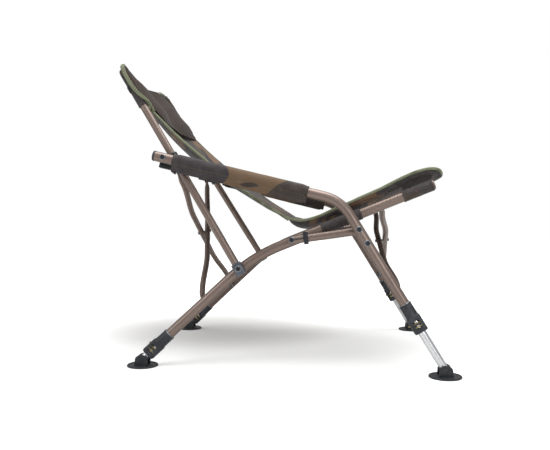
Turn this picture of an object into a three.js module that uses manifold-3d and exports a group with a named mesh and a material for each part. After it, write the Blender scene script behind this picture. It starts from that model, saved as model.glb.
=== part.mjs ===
// Carp fishing chair: two mirrored side frames that lean towards each other, joined by a pair of
// crossed braces at the front and another at the rear, with a slung fabric seat and back.
// Millimetres, +Z up, +X is the way the sitter faces, -Y is the sitter's right.

import * as THREE from 'three';
import { mergeVertices } from 'three/addons/utils/BufferGeometryUtils.js';
import Module from 'manifold-3d';

const wasm = await Module();
wasm.setup();

const degrees = THREE.MathUtils.degToRad;

// Clearances
const touchGap = 0.3;
const slideGap = 0.4;

// How far two shapes run into each other where they're joined
const overlap = 1;

// Tubes
const legTube = { outer: 25, wall: 1.5 };
const backTube = { outer: 19, wall: 1.5 };
const linkTube = { outer: 19 };
const innerLeg = { outer: 19, wall: 1.5 };
const braceTube = { outer: 15 };

// How the side frames stand
const halfWidth = 275.5;
const lean = degrees(6.2);
const collarWall = 3;
const backOut = legTube.outer / 2 + slideGap + backTube.outer / 2;
const armOut = backOut + backTube.outer / 2 + collarWall + touchGap + legTube.outer / 2;

// Rear leg and seat rail, one bent tube
const railCorner = { x: -90.7, z: 271.8 };
const rearLegSlope = degrees(43.3);
const railSlope = degrees(22.2);
const railBendRadius = 400;
const railLength = 480;
const rearLegLength = 306;

// Armrest and front leg, one bent tube
const armCorner = { x: 125.5, z: 406.4 };
const armSlope = degrees(-13.64);
const frontLegSlope = degrees(-58.6);
const armBendRadius = 100;
const armLength = 470;
const frontLegLength = 313;

// Pivots, as distances from the bend of the tube that carries them
const linkPivotOnRail = 105.5;
const linkPivotOnLeg = 83;
const secondBoltOnLeg = 121;
const backPivotBeforeBend = 44;
const rearBraceOnLeg = 173;
const frontBraceOnRail = 351;
const frontBraceOnLeg = 262;
const armPivotFromEnd = 22;

// Back tube
const backRake = degrees(31.4);
const backLength = 590;
const backTubeTail = 13;

// Telescopic legs and their feet
const clampGrip = 26;
const innerLegInside = { rear: 165, front: 125 };
const legToe = 5;
const foot = {
  radius: 38.2, edge: 1.5, rim: 4.5, hubRadius: 17, pinHeight: 17, crown: 14, floor: 5.5, slot: 24,
};
const footPin = { radius: 3, length: 30 };

// Leg clamp
const clamp = { collarRadius: 15.2, collarLength: 34, depth: 33, width: 31, length: 40, corner: 5 };
const clampWindow = { length: 20, height: 17, slotLength: 12, slotWidth: 14, slotShift: -3 };
const lockPlate = {
  thickness: 2.2, hole: 10.9, width: 24, tongue: 8, tongueWidth: 10, upper: -4, lower: 5, fold: 1,
};

// Bolts and rivets
const pivotBolt = { radius: 3, head: 6, headHeight: 3, tail: 3 };

// End cap of the arm tube
const endCap = { lip: 0.4, length: 5.4, plug: 12 };

// Fold lock clip, saddle and collar
const clip = { fromPivot: 35, length: 11, height: 30, thickness: 3, lip: 4, wire: 2 };
const saddle = { rise: 6, length: 40, width: 26, wall: 2 };
const collar = {
  radius: 13.4, length: 52, shift: -2, earLength: 44, earHeight: 28, earWidth: 16, earAhead: 10, earDrop: 8,
  bossRadius: 8, lugDrop: 26, lugBack: 28,
};

// Braces and their lugs. A far lug's pivot is open, so it stands well clear of its tube
const lug = { bossRadius: 8, bossLength: 4, plate: 3, halfHeight: 8, reach: 10, openReach: 24, openGap: 2.6 };
const tang = { thickness: 4, width: 15, length: 34, tubeStart: 20 };
const brace = { set: 8.5, bendStart: 0.12, bendEnd: 0.24, rivet: 5, rivetHeight: 3, washer: 6 };

// Arm pads, at the distance from the arm's rear end where each one starts
const padLength = 342;
const padStart = { right: 47, left: 86 };
const pad = { over: 4.8, under: 16.2, inner: 1.2, outer: 5.6, endShare: 0.9 };

// Fabric seat and back: the side edge of the sling, seen from the side
const seatEdge = [
  [-2, 366], [24, 361], [46, 364], [72, 372], [102, 386], [140, 403], [175, 419], [224, 441],
  [273, 466], [310, 482], [345, 490], [368, 487], [381, 474],
];
const backEdge = [
  [-8, 366], [-28, 379], [-58, 397], [-94, 421], [-150, 463], [-214, 514], [-262, 554], [-298, 586],
  [-330, 617], [-363, 649],
];
const headEdge = [[-325, 611], [-363, 649], [-394, 683], [-414, 713], [-427, 742], [-431, 762]];
const slingHalfWidth = 240;
const cloth = 1;
const seat = { thickness: 24, crown: 3, sag: 16, sagStart: 1 / 3, squareness: 8, endLength: 0.1 };
const back = {
  thickness: 12, sag: 26, start: 366, full: 546, drawnIn: 0.45, squareness: 8, endLength: 0.12,
};
const head = {
  thickness: 38, lobe: 12, dipWidth: 0.22, sewnFrom: 646, sewnTo: 666, skin: 3, squareness: 4, endLength: 0.2,
};
const hemShare = 0.2;
const pocket = { radius: 12.2, depth: 108, over: 4 };
const sleeve = { wall: 1.9, web: 3, inward: 5, rise: 46, hem: 22 };
const sleeves = [{ from: 184, to: 288 }, { from: 398, to: 476 }];

// Materials
function finish(color, roughness, metalness) {
  return new THREE.MeshStandardMaterial({ color, roughness, metalness });
}
const bronzePaint = finish(0x7d6d64, 0.38, 0.55);
const brightAlloy = finish(0xd9dadb, 0.25, 0.95);
const darkMoulding = finish(0x31363b, 0.5, 0);
const footMoulding = finish(0x2c2f32, 0.6, 0);
const platedSteel = finish(0x9a9fa6, 0.35, 0.9);
const brassSteel = finish(0xb89a55, 0.35, 0.9);
const camoCloth = finish(0x4a3d36, 0.9, 0);
const softCloth = finish(0x3d322e, 0.95, 0);

// A path that is sampled at its own stations, so straight runs stay single facets
class StationPath extends THREE.Curve {
  constructor(stations) {
    super();
    this.stations = stations;
  }

  getPointAt(u, target = new THREE.Vector3()) {
    const place = u * (this.stations.length - 1);
    const index = Math.min(Math.floor(place), this.stations.length - 2);
    return target.lerpVectors(this.stations[index], this.stations[index + 1], place - index);
  }

  getTangentAt(u, target = new THREE.Vector3()) {
    const last = this.stations.length - 1;
    const index = Math.round(u * last);
    const here = this.stations[index];
    const forward = this.stations[Math.min(index + 1, last)].clone().sub(here).normalize();
    const backward = here.clone().sub(this.stations[Math.max(index - 1, 0)]).normalize();
    return target.addVectors(forward, backward).normalize();
  }
}

function circlePath(radius, sides, Kind) {
  const path = new Kind();
  path.moveTo(radius, 0);
  for (let i = 1; i <= sides; i += 1) {
    const angle = (i / sides) * 2 * Math.PI;
    path.lineTo(radius * Math.cos(angle), radius * Math.sin(angle));
  }
  return path;
}

// A tube of round section along a list of stations, open right through if it has a wall
const boreSides = 8;
function tubeAlong(stations, outer, wall = 0, sides = 12) {
  const section = circlePath(outer / 2, sides, THREE.Shape);
  if (wall > 0) section.holes.push(circlePath(outer / 2 - wall, boreSides, THREE.Path));
  const path = new StationPath(stations);
  return new THREE.ExtrudeGeometry(section, { steps: stations.length - 1, extrudePath: path });
}

// The radius of the round bar that fits in a faceted bore
function boreRadius(tube) {
  return (tube.outer / 2 - tube.wall) * Math.cos(Math.PI / boreSides);
}

// Places in a side frame's own plane: x forward, z up, and out is away from the chair's middle
function at(side, place, out) {
  return new THREE.Vector3(place.x, side * out, place.z);
}

function along(start, slope, distance) {
  return { x: start.x + Math.cos(slope) * distance, z: start.z + Math.sin(slope) * distance };
}

function heading(slope) {
  return new THREE.Vector3(Math.cos(slope), 0, Math.sin(slope));
}

// The same places in the chair's own level frame
function level(side, place, out) {
  const y = halfWidth + out * Math.cos(lean) - place.z * Math.sin(lean);
  return new THREE.Vector3(place.x, side * y, out * Math.sin(lean) + place.z * Math.cos(lean));
}

// Stations of two straight runs joined by a round bend at a corner
function bentRun(corner, slopeIn, lengthIn, slopeOut, lengthOut, radius, steps) {
  const turn = slopeOut - slopeIn;
  const hand = Math.sign(turn);
  const entry = along(corner, slopeIn, -radius * Math.tan(Math.abs(turn) / 2));
  const centre = along(entry, slopeIn + (hand * Math.PI) / 2, radius);
  const places = [along(corner, slopeIn, -lengthIn)];
  for (let i = 0; i <= steps; i += 1) {
    const slope = slopeIn + (turn * i) / steps;
    places.push(along(centre, slope - (hand * Math.PI) / 2, radius));
  }
  places.push(along(corner, slopeOut, lengthOut));
  return places;
}

// Closed solids for cutting and joining
function solid(geometry) {
  const bare = geometry.clone();
  bare.deleteAttribute('normal');
  bare.deleteAttribute('uv');
  const merged = mergeVertices(bare, 1e-4);
  return new wasm.Manifold(new wasm.Mesh({
    numProp: 3,
    vertProperties: new Float32Array(merged.attributes.position.array),
    triVerts: new Uint32Array(merged.index.array),
  }));
}

function shell(manifold) {
  const data = manifold.getMesh();
  const geometry = new THREE.BufferGeometry();
  geometry.setAttribute('position', new THREE.BufferAttribute(new Float32Array(data.vertProperties), 3));
  geometry.setIndex(new THREE.BufferAttribute(new Uint32Array(data.triVerts), 1));
  geometry.computeVertexNormals();
  return geometry;
}

function cut(base, ...tools) {
  return shell(tools.reduce((body, tool) => body.subtract(solid(tool)), solid(base)));
}

function join(...pieces) {
  return shell(pieces.map(solid).reduce((body, next) => body.add(next)));
}

// A cylinder with its axis along a direction, centred on a point
function rod(centre, direction, radius, length, sides = 10) {
  const turn = new THREE.Quaternion().setFromUnitVectors(
    new THREE.Vector3(0, 1, 0),
    direction.clone().normalize(),
  );
  const geometry = new THREE.CylinderGeometry(radius, radius, length, sides).applyQuaternion(turn);
  return geometry.translate(centre.x, centre.y, centre.z);
}

// A cylinder for cutting a hole, whose flats stay outside the radius
function drill(centre, direction, radius, length, sides = 12) {
  return rod(centre, direction, radius / Math.cos(Math.PI / sides), length, sides);
}

// A box in a side frame, with its length along a slope and its breadth sideways
function block(centre, slope, length, breadth, height) {
  const geometry = new THREE.BoxGeometry(length, breadth, height).rotateY(-slope);
  return geometry.translate(centre.x, centre.y, centre.z);
}

// A box whose length runs from one point to another, with its breadth along an axis across that line
function bar(from, to, axis, breadth, height) {
  const span = new THREE.Vector3().subVectors(to, from);
  const run = span.clone().normalize();
  const up = new THREE.Vector3().crossVectors(run, axis).normalize();
  const across = new THREE.Vector3().crossVectors(up, run).normalize();
  const geometry = new THREE.BoxGeometry(span.length(), breadth, height);
  geometry.applyMatrix4(new THREE.Matrix4().makeBasis(run, across, up));
  return geometry.translate((from.x + to.x) / 2, (from.y + to.y) / 2, (from.z + to.z) / 2);
}

// A closed body through a list of rings that have as many points each
function skin(rings) {
  const count = rings[0].length;
  const vertices = rings.flat();
  for (const ring of [rings[0], rings[rings.length - 1]]) {
    const middle = new THREE.Vector3();
    ring.forEach((point) => middle.addScaledVector(point, 1 / count));
    vertices.push(middle);
  }
  const faces = [];
  const tail = (rings.length - 1) * count;
  for (let i = 0; i < count; i += 1) {
    const next = (i + 1) % count;
    for (let row = 0; row < tail; row += count) {
      faces.push([row + i, row + next, row + next + count], [row + i, row + next + count, row + i + count]);
    }
    faces.push([vertices.length - 2, next, i], [vertices.length - 1, tail + i, tail + next]);
  }
  const outward = (turned) => {
    const geometry = new THREE.BufferGeometry();
    const numbers = vertices.flatMap((point) => [point.x, point.y, point.z]);
    geometry.setAttribute('position', new THREE.Float32BufferAttribute(numbers, 3));
    geometry.setIndex(faces.flatMap(([a, b, c]) => (turned ? [a, c, b] : [a, b, c])));
    geometry.computeVertexNormals();
    return geometry;
  };
  return solid(outward(false)).volume() > 0 ? outward(false) : outward(true);
}

function mesh(name, geometry, material) {
  const piece = new THREE.Mesh(geometry, material);
  piece.name = name;
  return piece;
}

// The places that both side frames share
const rearLegRun = bentRun(railCorner, rearLegSlope, rearLegLength, railSlope, railLength, railBendRadius, 5);
const armRun = bentRun(armCorner, armSlope, armLength, frontLegSlope, frontLegLength, armBendRadius, 7);
const rearLegEnd = along(railCorner, rearLegSlope, -rearLegLength);
const frontLegEnd = along(armCorner, frontLegSlope, frontLegLength);
const armEnd = along(armCorner, armSlope, -armLength);
const armPivot = along(armEnd, armSlope, armPivotFromEnd);
const linkLow = along(railCorner, railSlope, linkPivotOnRail);
const linkHigh = along(armCorner, frontLegSlope, linkPivotOnLeg);
const linkSlope = Math.atan2(linkHigh.z - linkLow.z, linkHigh.x - linkLow.x);
const secondBolt = along(armCorner, frontLegSlope, secondBoltOnLeg);
const rearBraceLow = along(railCorner, rearLegSlope, -rearBraceOnLeg);
const frontBraceHigh = along(railCorner, railSlope, frontBraceOnRail);
const frontBraceLow = along(armCorner, frontLegSlope, frontBraceOnLeg);

// A leg's axis comes down to its foot's pin at the height that the foot holds it
function footPlace(corner, slope, out) {
  const z = (foot.pinHeight - out * Math.sin(lean)) / Math.cos(lean);
  return along(corner, slope, (z - corner.z) / Math.sin(slope));
}
const rearFootPlace = footPlace(railCorner, rearLegSlope, 0);
const frontFootPlace = footPlace(armCorner, frontLegSlope, armOut);

// The back tube turns on the middle of the rear leg's bend
const backSlope = Math.PI / 2 + backRake;
const bendStart = railBendRadius * Math.tan((rearLegSlope - railSlope) / 2);
const bendTurn = (bendStart - backPivotBeforeBend) / railBendRadius;
const bendCentre = along(
  along(railCorner, rearLegSlope, -bendStart),
  rearLegSlope - Math.PI / 2,
  railBendRadius,
);
const backPivot = along(bendCentre, rearLegSlope - bendTurn + Math.PI / 2, railBendRadius);
const backFoot = along(backPivot, backSlope, -backTubeTail);
const backTop = along(backPivot, backSlope, backLength);

// Where the back tube passes the arm, and the socket below it for the rear brace
function crossing(a, slopeA, b, slopeB) {
  const gapX = b.x - a.x;
  const gapZ = b.z - a.z;
  return along(a, slopeA, (gapX * Math.sin(slopeB) - gapZ * Math.cos(slopeB)) / Math.sin(slopeB - slopeA));
}
const collarPlace = crossing(armEnd, armSlope, backPivot, backSlope);
const rearBraceHigh = along(along(collarPlace, backSlope, -collar.lugDrop), armSlope, -collar.lugBack);

// Where the braces pivot, and the hinge axis of each crossed pair
const ownRootOut = -(legTube.outer / 2 + touchGap);
const ownPivotOut = ownRootOut - lug.bossLength - lug.reach;
const collarPivotOut = backOut - collar.radius - lug.openReach;
const legRootOut = armOut - legTube.outer / 2 - touchGap;
const legPivotOut = legRootOut - lug.openReach;
function braceAxis(low, high) {
  return new THREE.Vector3(high.z - low.z, 0, low.x - high.x).normalize();
}
const rearAxis = braceAxis(level(1, rearBraceLow, ownPivotOut), level(1, rearBraceHigh, collarPivotOut));
const frontAxis = braceAxis(level(1, frontBraceLow, legPivotOut), level(1, frontBraceHigh, ownPivotOut));

const chair = new THREE.Group();
const sideways = new THREE.Vector3(0, 1, 0);
const frames = [{ side: -1, word: 'right' }, { side: 1, word: 'left' }];

// Main tubes of one side frame, in the frame's own leaning plane
function addTubes(side, add) {
  add('rear_leg_rail', tubeAlong(rearLegRun.map((place) => at(side, place, 0)), legTube.outer, legTube.wall),
    bronzePaint);
  add('arm_front_leg', tubeAlong(armRun.map((place) => at(side, place, armOut)), legTube.outer, legTube.wall),
    bronzePaint);
  const backEnds = [at(side, backFoot, backOut), at(side, backTop, backOut)];
  const straight = tubeAlong(backEnds, backTube.outer, backTube.wall);
  add('back_tube', cut(straight, boltHole(side, backPivot, backOut)), bronzePaint);
}

function boltHole(side, place, out) {
  return drill(at(side, place, out), sideways, pivotBolt.radius + touchGap, 2 * legTube.outer, 10);
}

function boltHead(side, place, out) {
  return rod(at(side, place, out + pivotBolt.headHeight / 2), sideways, pivotBolt.head, pivotBolt.headHeight);
}

function boltShank(side, place, from, to) {
  return rod(at(side, place, (from + to) / 2), sideways, pivotBolt.radius, to - from);
}

// Moulded cap in the rear end of the arm tube
function addEndCap(side, add) {
  const axis = heading(armSlope);
  const face = along(armEnd, armSlope, -touchGap - endCap.length / 2);
  const plugMiddle = along(armEnd, armSlope, (endCap.plug - endCap.length) / 2);
  add('arm_end_cap', join(
    rod(at(side, face, armOut), axis, legTube.outer / 2 + endCap.lip, endCap.length, 16),
    rod(at(side, plugMiddle, armOut), axis, boreRadius(legTube) - touchGap, endCap.plug + endCap.length),
  ), darkMoulding);
}

// Side link between the rail and the front leg, with the bolts it turns on
function addLink(side, add) {
  const eye = linkTube.outer / 2;
  const ends = [along(linkLow, linkSlope, -eye / 2), along(linkHigh, linkSlope, eye / 2)];
  const body = join(
    tubeAlong(ends.map((place) => at(side, place, backOut)), linkTube.outer),
    rod(at(side, linkLow, backOut), sideways, eye, linkTube.outer, 12),
    rod(at(side, linkHigh, backOut), sideways, eye, linkTube.outer, 12),
    boltShank(side, linkHigh, backOut - eye - pivotBolt.tail, armOut - legTube.outer / 2 - touchGap),
  );
  add('side_link', cut(body, boltHole(side, linkLow, backOut)), bronzePaint);
  const legFace = legTube.outer / 2 + touchGap;
  const linkFace = backOut + eye + touchGap;
  add('link_bolt', join(
    boltHead(side, linkLow, linkFace),
    boltShank(side, linkLow, legFace, linkFace + overlap),
  ), platedSteel);
  const outerBolts = { upper_leg_bolt: linkHigh, lower_leg_bolt: secondBolt, arm_bolt: armPivot };
  for (const [name, place] of Object.entries(outerBolts)) {
    add(name, boltHead(side, place, armOut + legFace), darkMoulding);
  }
}

// Clip that hooks over the link and stops the chair folding
function addFoldClip(side, add) {
  const legFace = legTube.outer / 2 + touchGap;
  const linkFace = backOut + linkTube.outer / 2 + touchGap;
  const cheekOut = linkFace + clip.thickness / 2;
  const place = along(linkLow, linkSlope, clip.fromPivot);
  const wireStart = pivotBolt.head + touchGap;
  const wireRun = clip.fromPivot - wireStart;
  const wireMiddle = along(linkLow, linkSlope, wireStart + wireRun / 2);
  const lipPlace = along(place, linkSlope + Math.PI / 2, (clip.height - clip.lip) / 2);
  const lipBreadth = linkFace + clip.thickness - legFace;
  add('fold_clip', join(
    block(at(side, wireMiddle, cheekOut), linkSlope, wireRun, clip.wire, clip.wire),
    block(at(side, place, cheekOut), linkSlope, clip.length, clip.thickness, clip.height),
    block(at(side, lipPlace, legFace + lipBreadth / 2), linkSlope, clip.length, lipBreadth, clip.lip),
  ), darkMoulding);
}

// Steel saddle round the back tube's foot, which turns with it on the bolt in the rear leg
function addBackBracket(side, add) {
  const inner = legTube.outer / 2 + touchGap;
  const outer = backOut + backTube.outer / 2 + touchGap;
  const middle = along(backPivot, backSlope, saddle.rise);
  const cheekMiddle = at(side, middle, outer + saddle.wall / 2);
  const cheek = block(cheekMiddle, backSlope, saddle.length, saddle.wall, saddle.width);
  const edges = [1, -1].map((hand) => {
    const place = along(middle, backSlope + Math.PI / 2, (hand * (saddle.width - saddle.wall)) / 2);
    const breadth = outer + saddle.wall - inner;
    return block(at(side, place, inner + breadth / 2), backSlope, saddle.length, breadth, saddle.wall);
  });
  add('back_bracket', join(
    cheek,
    ...edges,
    boltShank(side, backPivot, inner, outer + saddle.wall + overlap),
    boltHead(side, backPivot, outer + saddle.wall),
  ), platedSteel);
}

// A flat lug across a brace's hinge axis: an eye round the pivot on a plate that runs to its root
function lugShapes(pivot, root, axis) {
  return [
    rod(pivot, axis, lug.halfHeight, lug.plate),
    bar(pivot, root, axis, lug.plate, 2 * lug.halfHeight),
  ];
}

// Collar that slides on the back tube and carries the arm's rear end and the far end of a rear brace
function addCollar(side, add) {
  const axis = heading(backSlope);
  const armFace = armOut - legTube.outer / 2 - touchGap;
  const earMiddle = along(
    along(armPivot, armSlope, collar.earAhead),
    armSlope - Math.PI / 2,
    collar.earDrop,
  );
  const tilt = new THREE.Quaternion().setFromAxisAngle(new THREE.Vector3(1, 0, 0), -side * lean);
  const sleeveMiddle = at(side, along(collarPlace, backSlope, collar.shift), backOut);
  const body = join(
    rod(sleeveMiddle, axis, collar.radius, collar.length, 16),
    block(at(side, earMiddle, backOut), armSlope, collar.earLength, collar.earWidth, collar.earHeight),
    ...lugShapes(
      at(side, rearBraceHigh, collarPivotOut),
      at(side, rearBraceHigh, backOut),
      rearAxis.clone().applyQuaternion(tilt),
    ),
  );
  const padFace = armFace - pad.inner;
  const besidePad = block(at(side, collarPlace, padFace + legTube.outer), armSlope, 4 * collar.length,
    2 * legTube.outer, 4 * collar.length);
  const bossMiddle = at(side, armPivot, (backOut + armFace) / 2);
  const boss = rod(bossMiddle, sideways, collar.bossRadius, armFace - backOut);
  const bore = drill(at(side, collarPlace, backOut), axis, backTube.outer / 2 + touchGap, 4 * collar.length);
  add('back_collar', cut(join(cut(body, besidePad), boss), bore), darkMoulding);
}

// Padded wrap round the arm tube, fuller underneath where its seam hangs
function addArmPad(side, word, add) {
  const start = along(armEnd, armSlope, padStart[word]);
  const sides = 16;
  const steps = 9;
  const rings = [];
  for (let i = 0; i <= steps; i += 1) {
    const place = along(start, armSlope, (padLength * i) / steps);
    const swell = i === 0 || i === steps ? pad.endShare : 1;
    const ring = [];
    for (let j = 0; j < sides; j += 1) {
      const sway = Math.cos((j / sides) * 2 * Math.PI);
      const rise = Math.sin((j / sides) * 2 * Math.PI);
      const reachOut = legTube.outer / 2 + (sway > 0 ? pad.outer * swell : pad.inner);
      const reachUp = legTube.outer / 2 + (rise > 0 ? pad.over : pad.under) * swell;
      ring.push(at(side, along(place, armSlope + Math.PI / 2, rise * reachUp), armOut + sway * reachOut));
    }
    rings.push(ring);
  }
  const middle = at(side, along(start, armSlope, padLength / 2), armOut);
  const hole = drill(middle, heading(armSlope), legTube.outer / 2 + touchGap, 2 * padLength);
  add('arm_pad', cut(skin(rings), hole), camoCloth);
}

// Clamp housing at the lower end of a leg, with a window where its lock plates show
function addClamp(side, leg, add) {
  const axis = heading(leg.slope);
  const grip = along(leg.end, leg.slope, -clampGrip);
  const boxMiddle = along(grip, leg.slope, clamp.collarLength + clamp.length / 2);
  const outer = join(
    rod(at(side, along(grip, leg.slope, clamp.collarLength / 2), leg.out), axis, clamp.collarRadius,
      clamp.collarLength + 2 * overlap, 14),
    roundedBlock(at(side, boxMiddle, leg.out), leg.slope),
  );
  const upperBore = drill(at(side, along(leg.end, leg.slope, touchGap - clamp.length), leg.out), axis,
    legTube.outer / 2 + touchGap, 2 * clamp.length);
  const middle = at(side, boxMiddle, leg.out);
  const lowerBore = drill(middle, axis, innerLeg.outer / 2 + touchGap, 4 * clamp.length);
  const chamberWidth = lockPlate.width + 2 * touchGap;
  const chamber = block(middle, leg.slope, clampWindow.length, chamberWidth, chamberWidth);
  const opening = block(middle, leg.slope, clampWindow.length, 2 * clamp.width, clampWindow.height);
  const slotMiddle = along(
    along(boxMiddle, leg.slope, clampWindow.slotShift),
    leg.slope - Math.PI / 2,
    clamp.depth / 2,
  );
  const slot = block(at(side, slotMiddle, leg.out), leg.slope, clampWindow.slotLength, clampWindow.slotWidth,
    clamp.depth / 2);
  add(`${leg.word}_clamp`, cut(outer, upperBore, lowerBore, chamber, opening, slot), darkMoulding);
  addLockPlates(side, leg, boxMiddle, add);
}

// The sprung lock: two plates that bite on the inner leg, bent from one strip, with a tongue to press
function addLockPlates(side, leg, boxMiddle, add) {
  const plates = [lockPlate.upper, lockPlate.lower].map((offset) => {
    const centre = at(side, along(boxMiddle, leg.slope, offset), leg.out);
    return block(centre, leg.slope, lockPlate.thickness, lockPlate.width, lockPlate.width);
  });
  const beside = (offset, rise) => along(along(boxMiddle, leg.slope, offset), leg.slope - Math.PI / 2, rise);
  const tongueRise = (lockPlate.width + lockPlate.tongue - overlap) / 2;
  const tongue = block(at(side, beside(lockPlate.upper, tongueRise), leg.out), leg.slope, lockPlate.thickness,
    lockPlate.tongueWidth, lockPlate.tongue + overlap);
  const foldRise = (lockPlate.fold - lockPlate.width) / 2;
  const fold = block(at(side, beside((lockPlate.upper + lockPlate.lower) / 2, foldRise), leg.out), leg.slope,
    lockPlate.lower - lockPlate.upper, clampWindow.slotWidth, lockPlate.fold);
  const hole = drill(at(side, boxMiddle, leg.out), heading(leg.slope), lockPlate.hole, clamp.length, 10);
  add(`${leg.word}_lock_plates`, cut(join(...plates, tongue, fold), hole), brassSteel);
}

// The clamp's box, with its long edges bevelled
function roundedBlock(centre, slope) {
  const across = clamp.width / 2;
  const up = clamp.depth / 2;
  const bevel = clamp.corner;
  const shape = new THREE.Shape([
    [across - bevel, -up], [across, bevel - up], [across, up - bevel], [across - bevel, up],
    [bevel - across, up], [-across, up - bevel], [-across, bevel - up], [bevel - across, -up],
  ].map(([x, y]) => new THREE.Vector2(x, y)));
  const geometry = new THREE.ExtrudeGeometry(shape, { depth: clamp.length, bevelEnabled: false });
  geometry.translate(0, 0, -clamp.length / 2).rotateX(Math.PI / 2).rotateZ(Math.PI / 2).rotateY(-slope);
  return geometry.translate(centre.x, centre.y, centre.z);
}

// Inner leg that slides in the lower end of a leg tube, drilled for the foot's pin
function addInnerLeg(side, leg, add, levelAxis) {
  const top = along(leg.end, leg.slope, -innerLegInside[leg.word]);
  const toe = along(leg.foot, leg.slope, legToe);
  const ends = [at(side, top, leg.out), at(side, toe, leg.out)];
  const straight = tubeAlong(ends, innerLeg.outer, innerLeg.wall);
  const pinRoom = footPin.radius + touchGap;
  const hole = drill(at(side, leg.foot, leg.out), levelAxis, pinRoom, 3 * innerLeg.outer, 8);
  add(`${leg.word}_inner_leg`, cut(straight, hole), brightAlloy);
}

// Swivelling mud foot: a flat disc with a domed hub that the leg's end drops into, and its fixed pin
function addFoot(side, leg, frame, word, levelTurn) {
  const swivel = new THREE.Group();
  swivel.position.copy(at(side, leg.foot, leg.out));
  swivel.quaternion.copy(levelTurn);
  frame.add(swivel);
  const dome = [0, 0.3, 0.6, 0.85, 1].map((share) => {
    const rise = Math.asin(foot.crown / foot.hubRadius) * share;
    return [foot.hubRadius * Math.cos(rise), foot.pinHeight + foot.hubRadius * Math.sin(rise)];
  });
  const profile = [
    [0, 0], [foot.radius - foot.edge, 0], [foot.radius, foot.edge], [foot.radius, foot.rim - foot.edge],
    [foot.radius - foot.edge, foot.rim], [foot.hubRadius + foot.edge, foot.rim],
    [foot.hubRadius, foot.rim + foot.edge], ...dome, [0, foot.pinHeight + foot.crown],
  ].map(([radius, height]) => new THREE.Vector2(radius, height - foot.pinHeight));
  const body = new THREE.LatheGeometry(profile, 16).rotateX(Math.PI / 2);
  const slotHeight = 2 * foot.pinHeight;
  const slot = new THREE.BoxGeometry(3 * foot.hubRadius, foot.slot, slotHeight);
  slot.translate(0, 0, foot.floor + slotHeight / 2 - foot.pinHeight);
  const pin = rod(new THREE.Vector3(), sideways, footPin.radius, footPin.length, 8);
  swivel.add(mesh(`${word}_${leg.word}_foot`, join(cut(body, slot), pin), footMoulding));
}

// Fabric pocket at each top corner of the sling, pulled over the end of the back tube
function addBackPocket(side, add) {
  const axis = heading(backSlope);
  const middle = along(backTop, backSlope, (pocket.over - pocket.depth) / 2);
  const outer = rod(at(side, middle, backOut), axis, pocket.radius, pocket.depth + pocket.over, 14);
  const inner = drill(at(side, along(backTop, backSlope, touchGap - pocket.depth), backOut), axis,
    backTube.outer / 2 + touchGap, 2 * pocket.depth);
  add('back_pocket', cut(outer, inner), camoCloth);
}

// A side frame: a leaning group, so each piece is placed where it lies in the frame's own plane
for (const { side, word } of frames) {
  const frame = new THREE.Group();
  frame.position.y = side * halfWidth;
  frame.rotation.x = side * lean;
  chair.add(frame);
  const add = (name, geometry, material) => frame.add(mesh(`${word}_${name}`, geometry, material));
  const levelTurn = new THREE.Quaternion().setFromAxisAngle(new THREE.Vector3(1, 0, 0), -side * lean);
  const levelAxis = sideways.clone().applyQuaternion(levelTurn);
  addTubes(side, add);
  addEndCap(side, add);
  addLink(side, add);
  addFoldClip(side, add);
  addBackBracket(side, add);
  addCollar(side, add);
  addArmPad(side, word, add);
  addBackPocket(side, add);
  const legs = [
    { word: 'rear', end: rearLegEnd, slope: rearLegSlope + Math.PI, out: 0, foot: rearFootPlace },
    { word: 'front', end: frontLegEnd, slope: frontLegSlope, out: armOut, foot: frontFootPlace },
  ];
  for (const leg of legs) {
    addClamp(side, leg, add);
    addInnerLeg(side, leg, add, levelAxis);
    addFoot(side, leg, frame, word, levelTurn);
  }
}

// A bracket on the inner face of a tube: a round boss with the lug standing off it
function bracketShape(side, place, rootOut, pivotOut, axis) {
  const bossMiddle = level(side, place, rootOut - lug.bossLength / 2);
  const outward = new THREE.Vector3(0, Math.cos(lean), side * Math.sin(lean));
  return join(
    rod(bossMiddle, outward, lug.bossRadius, lug.bossLength),
    ...lugShapes(level(side, place, pivotOut), bossMiddle, axis),
  );
}

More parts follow.
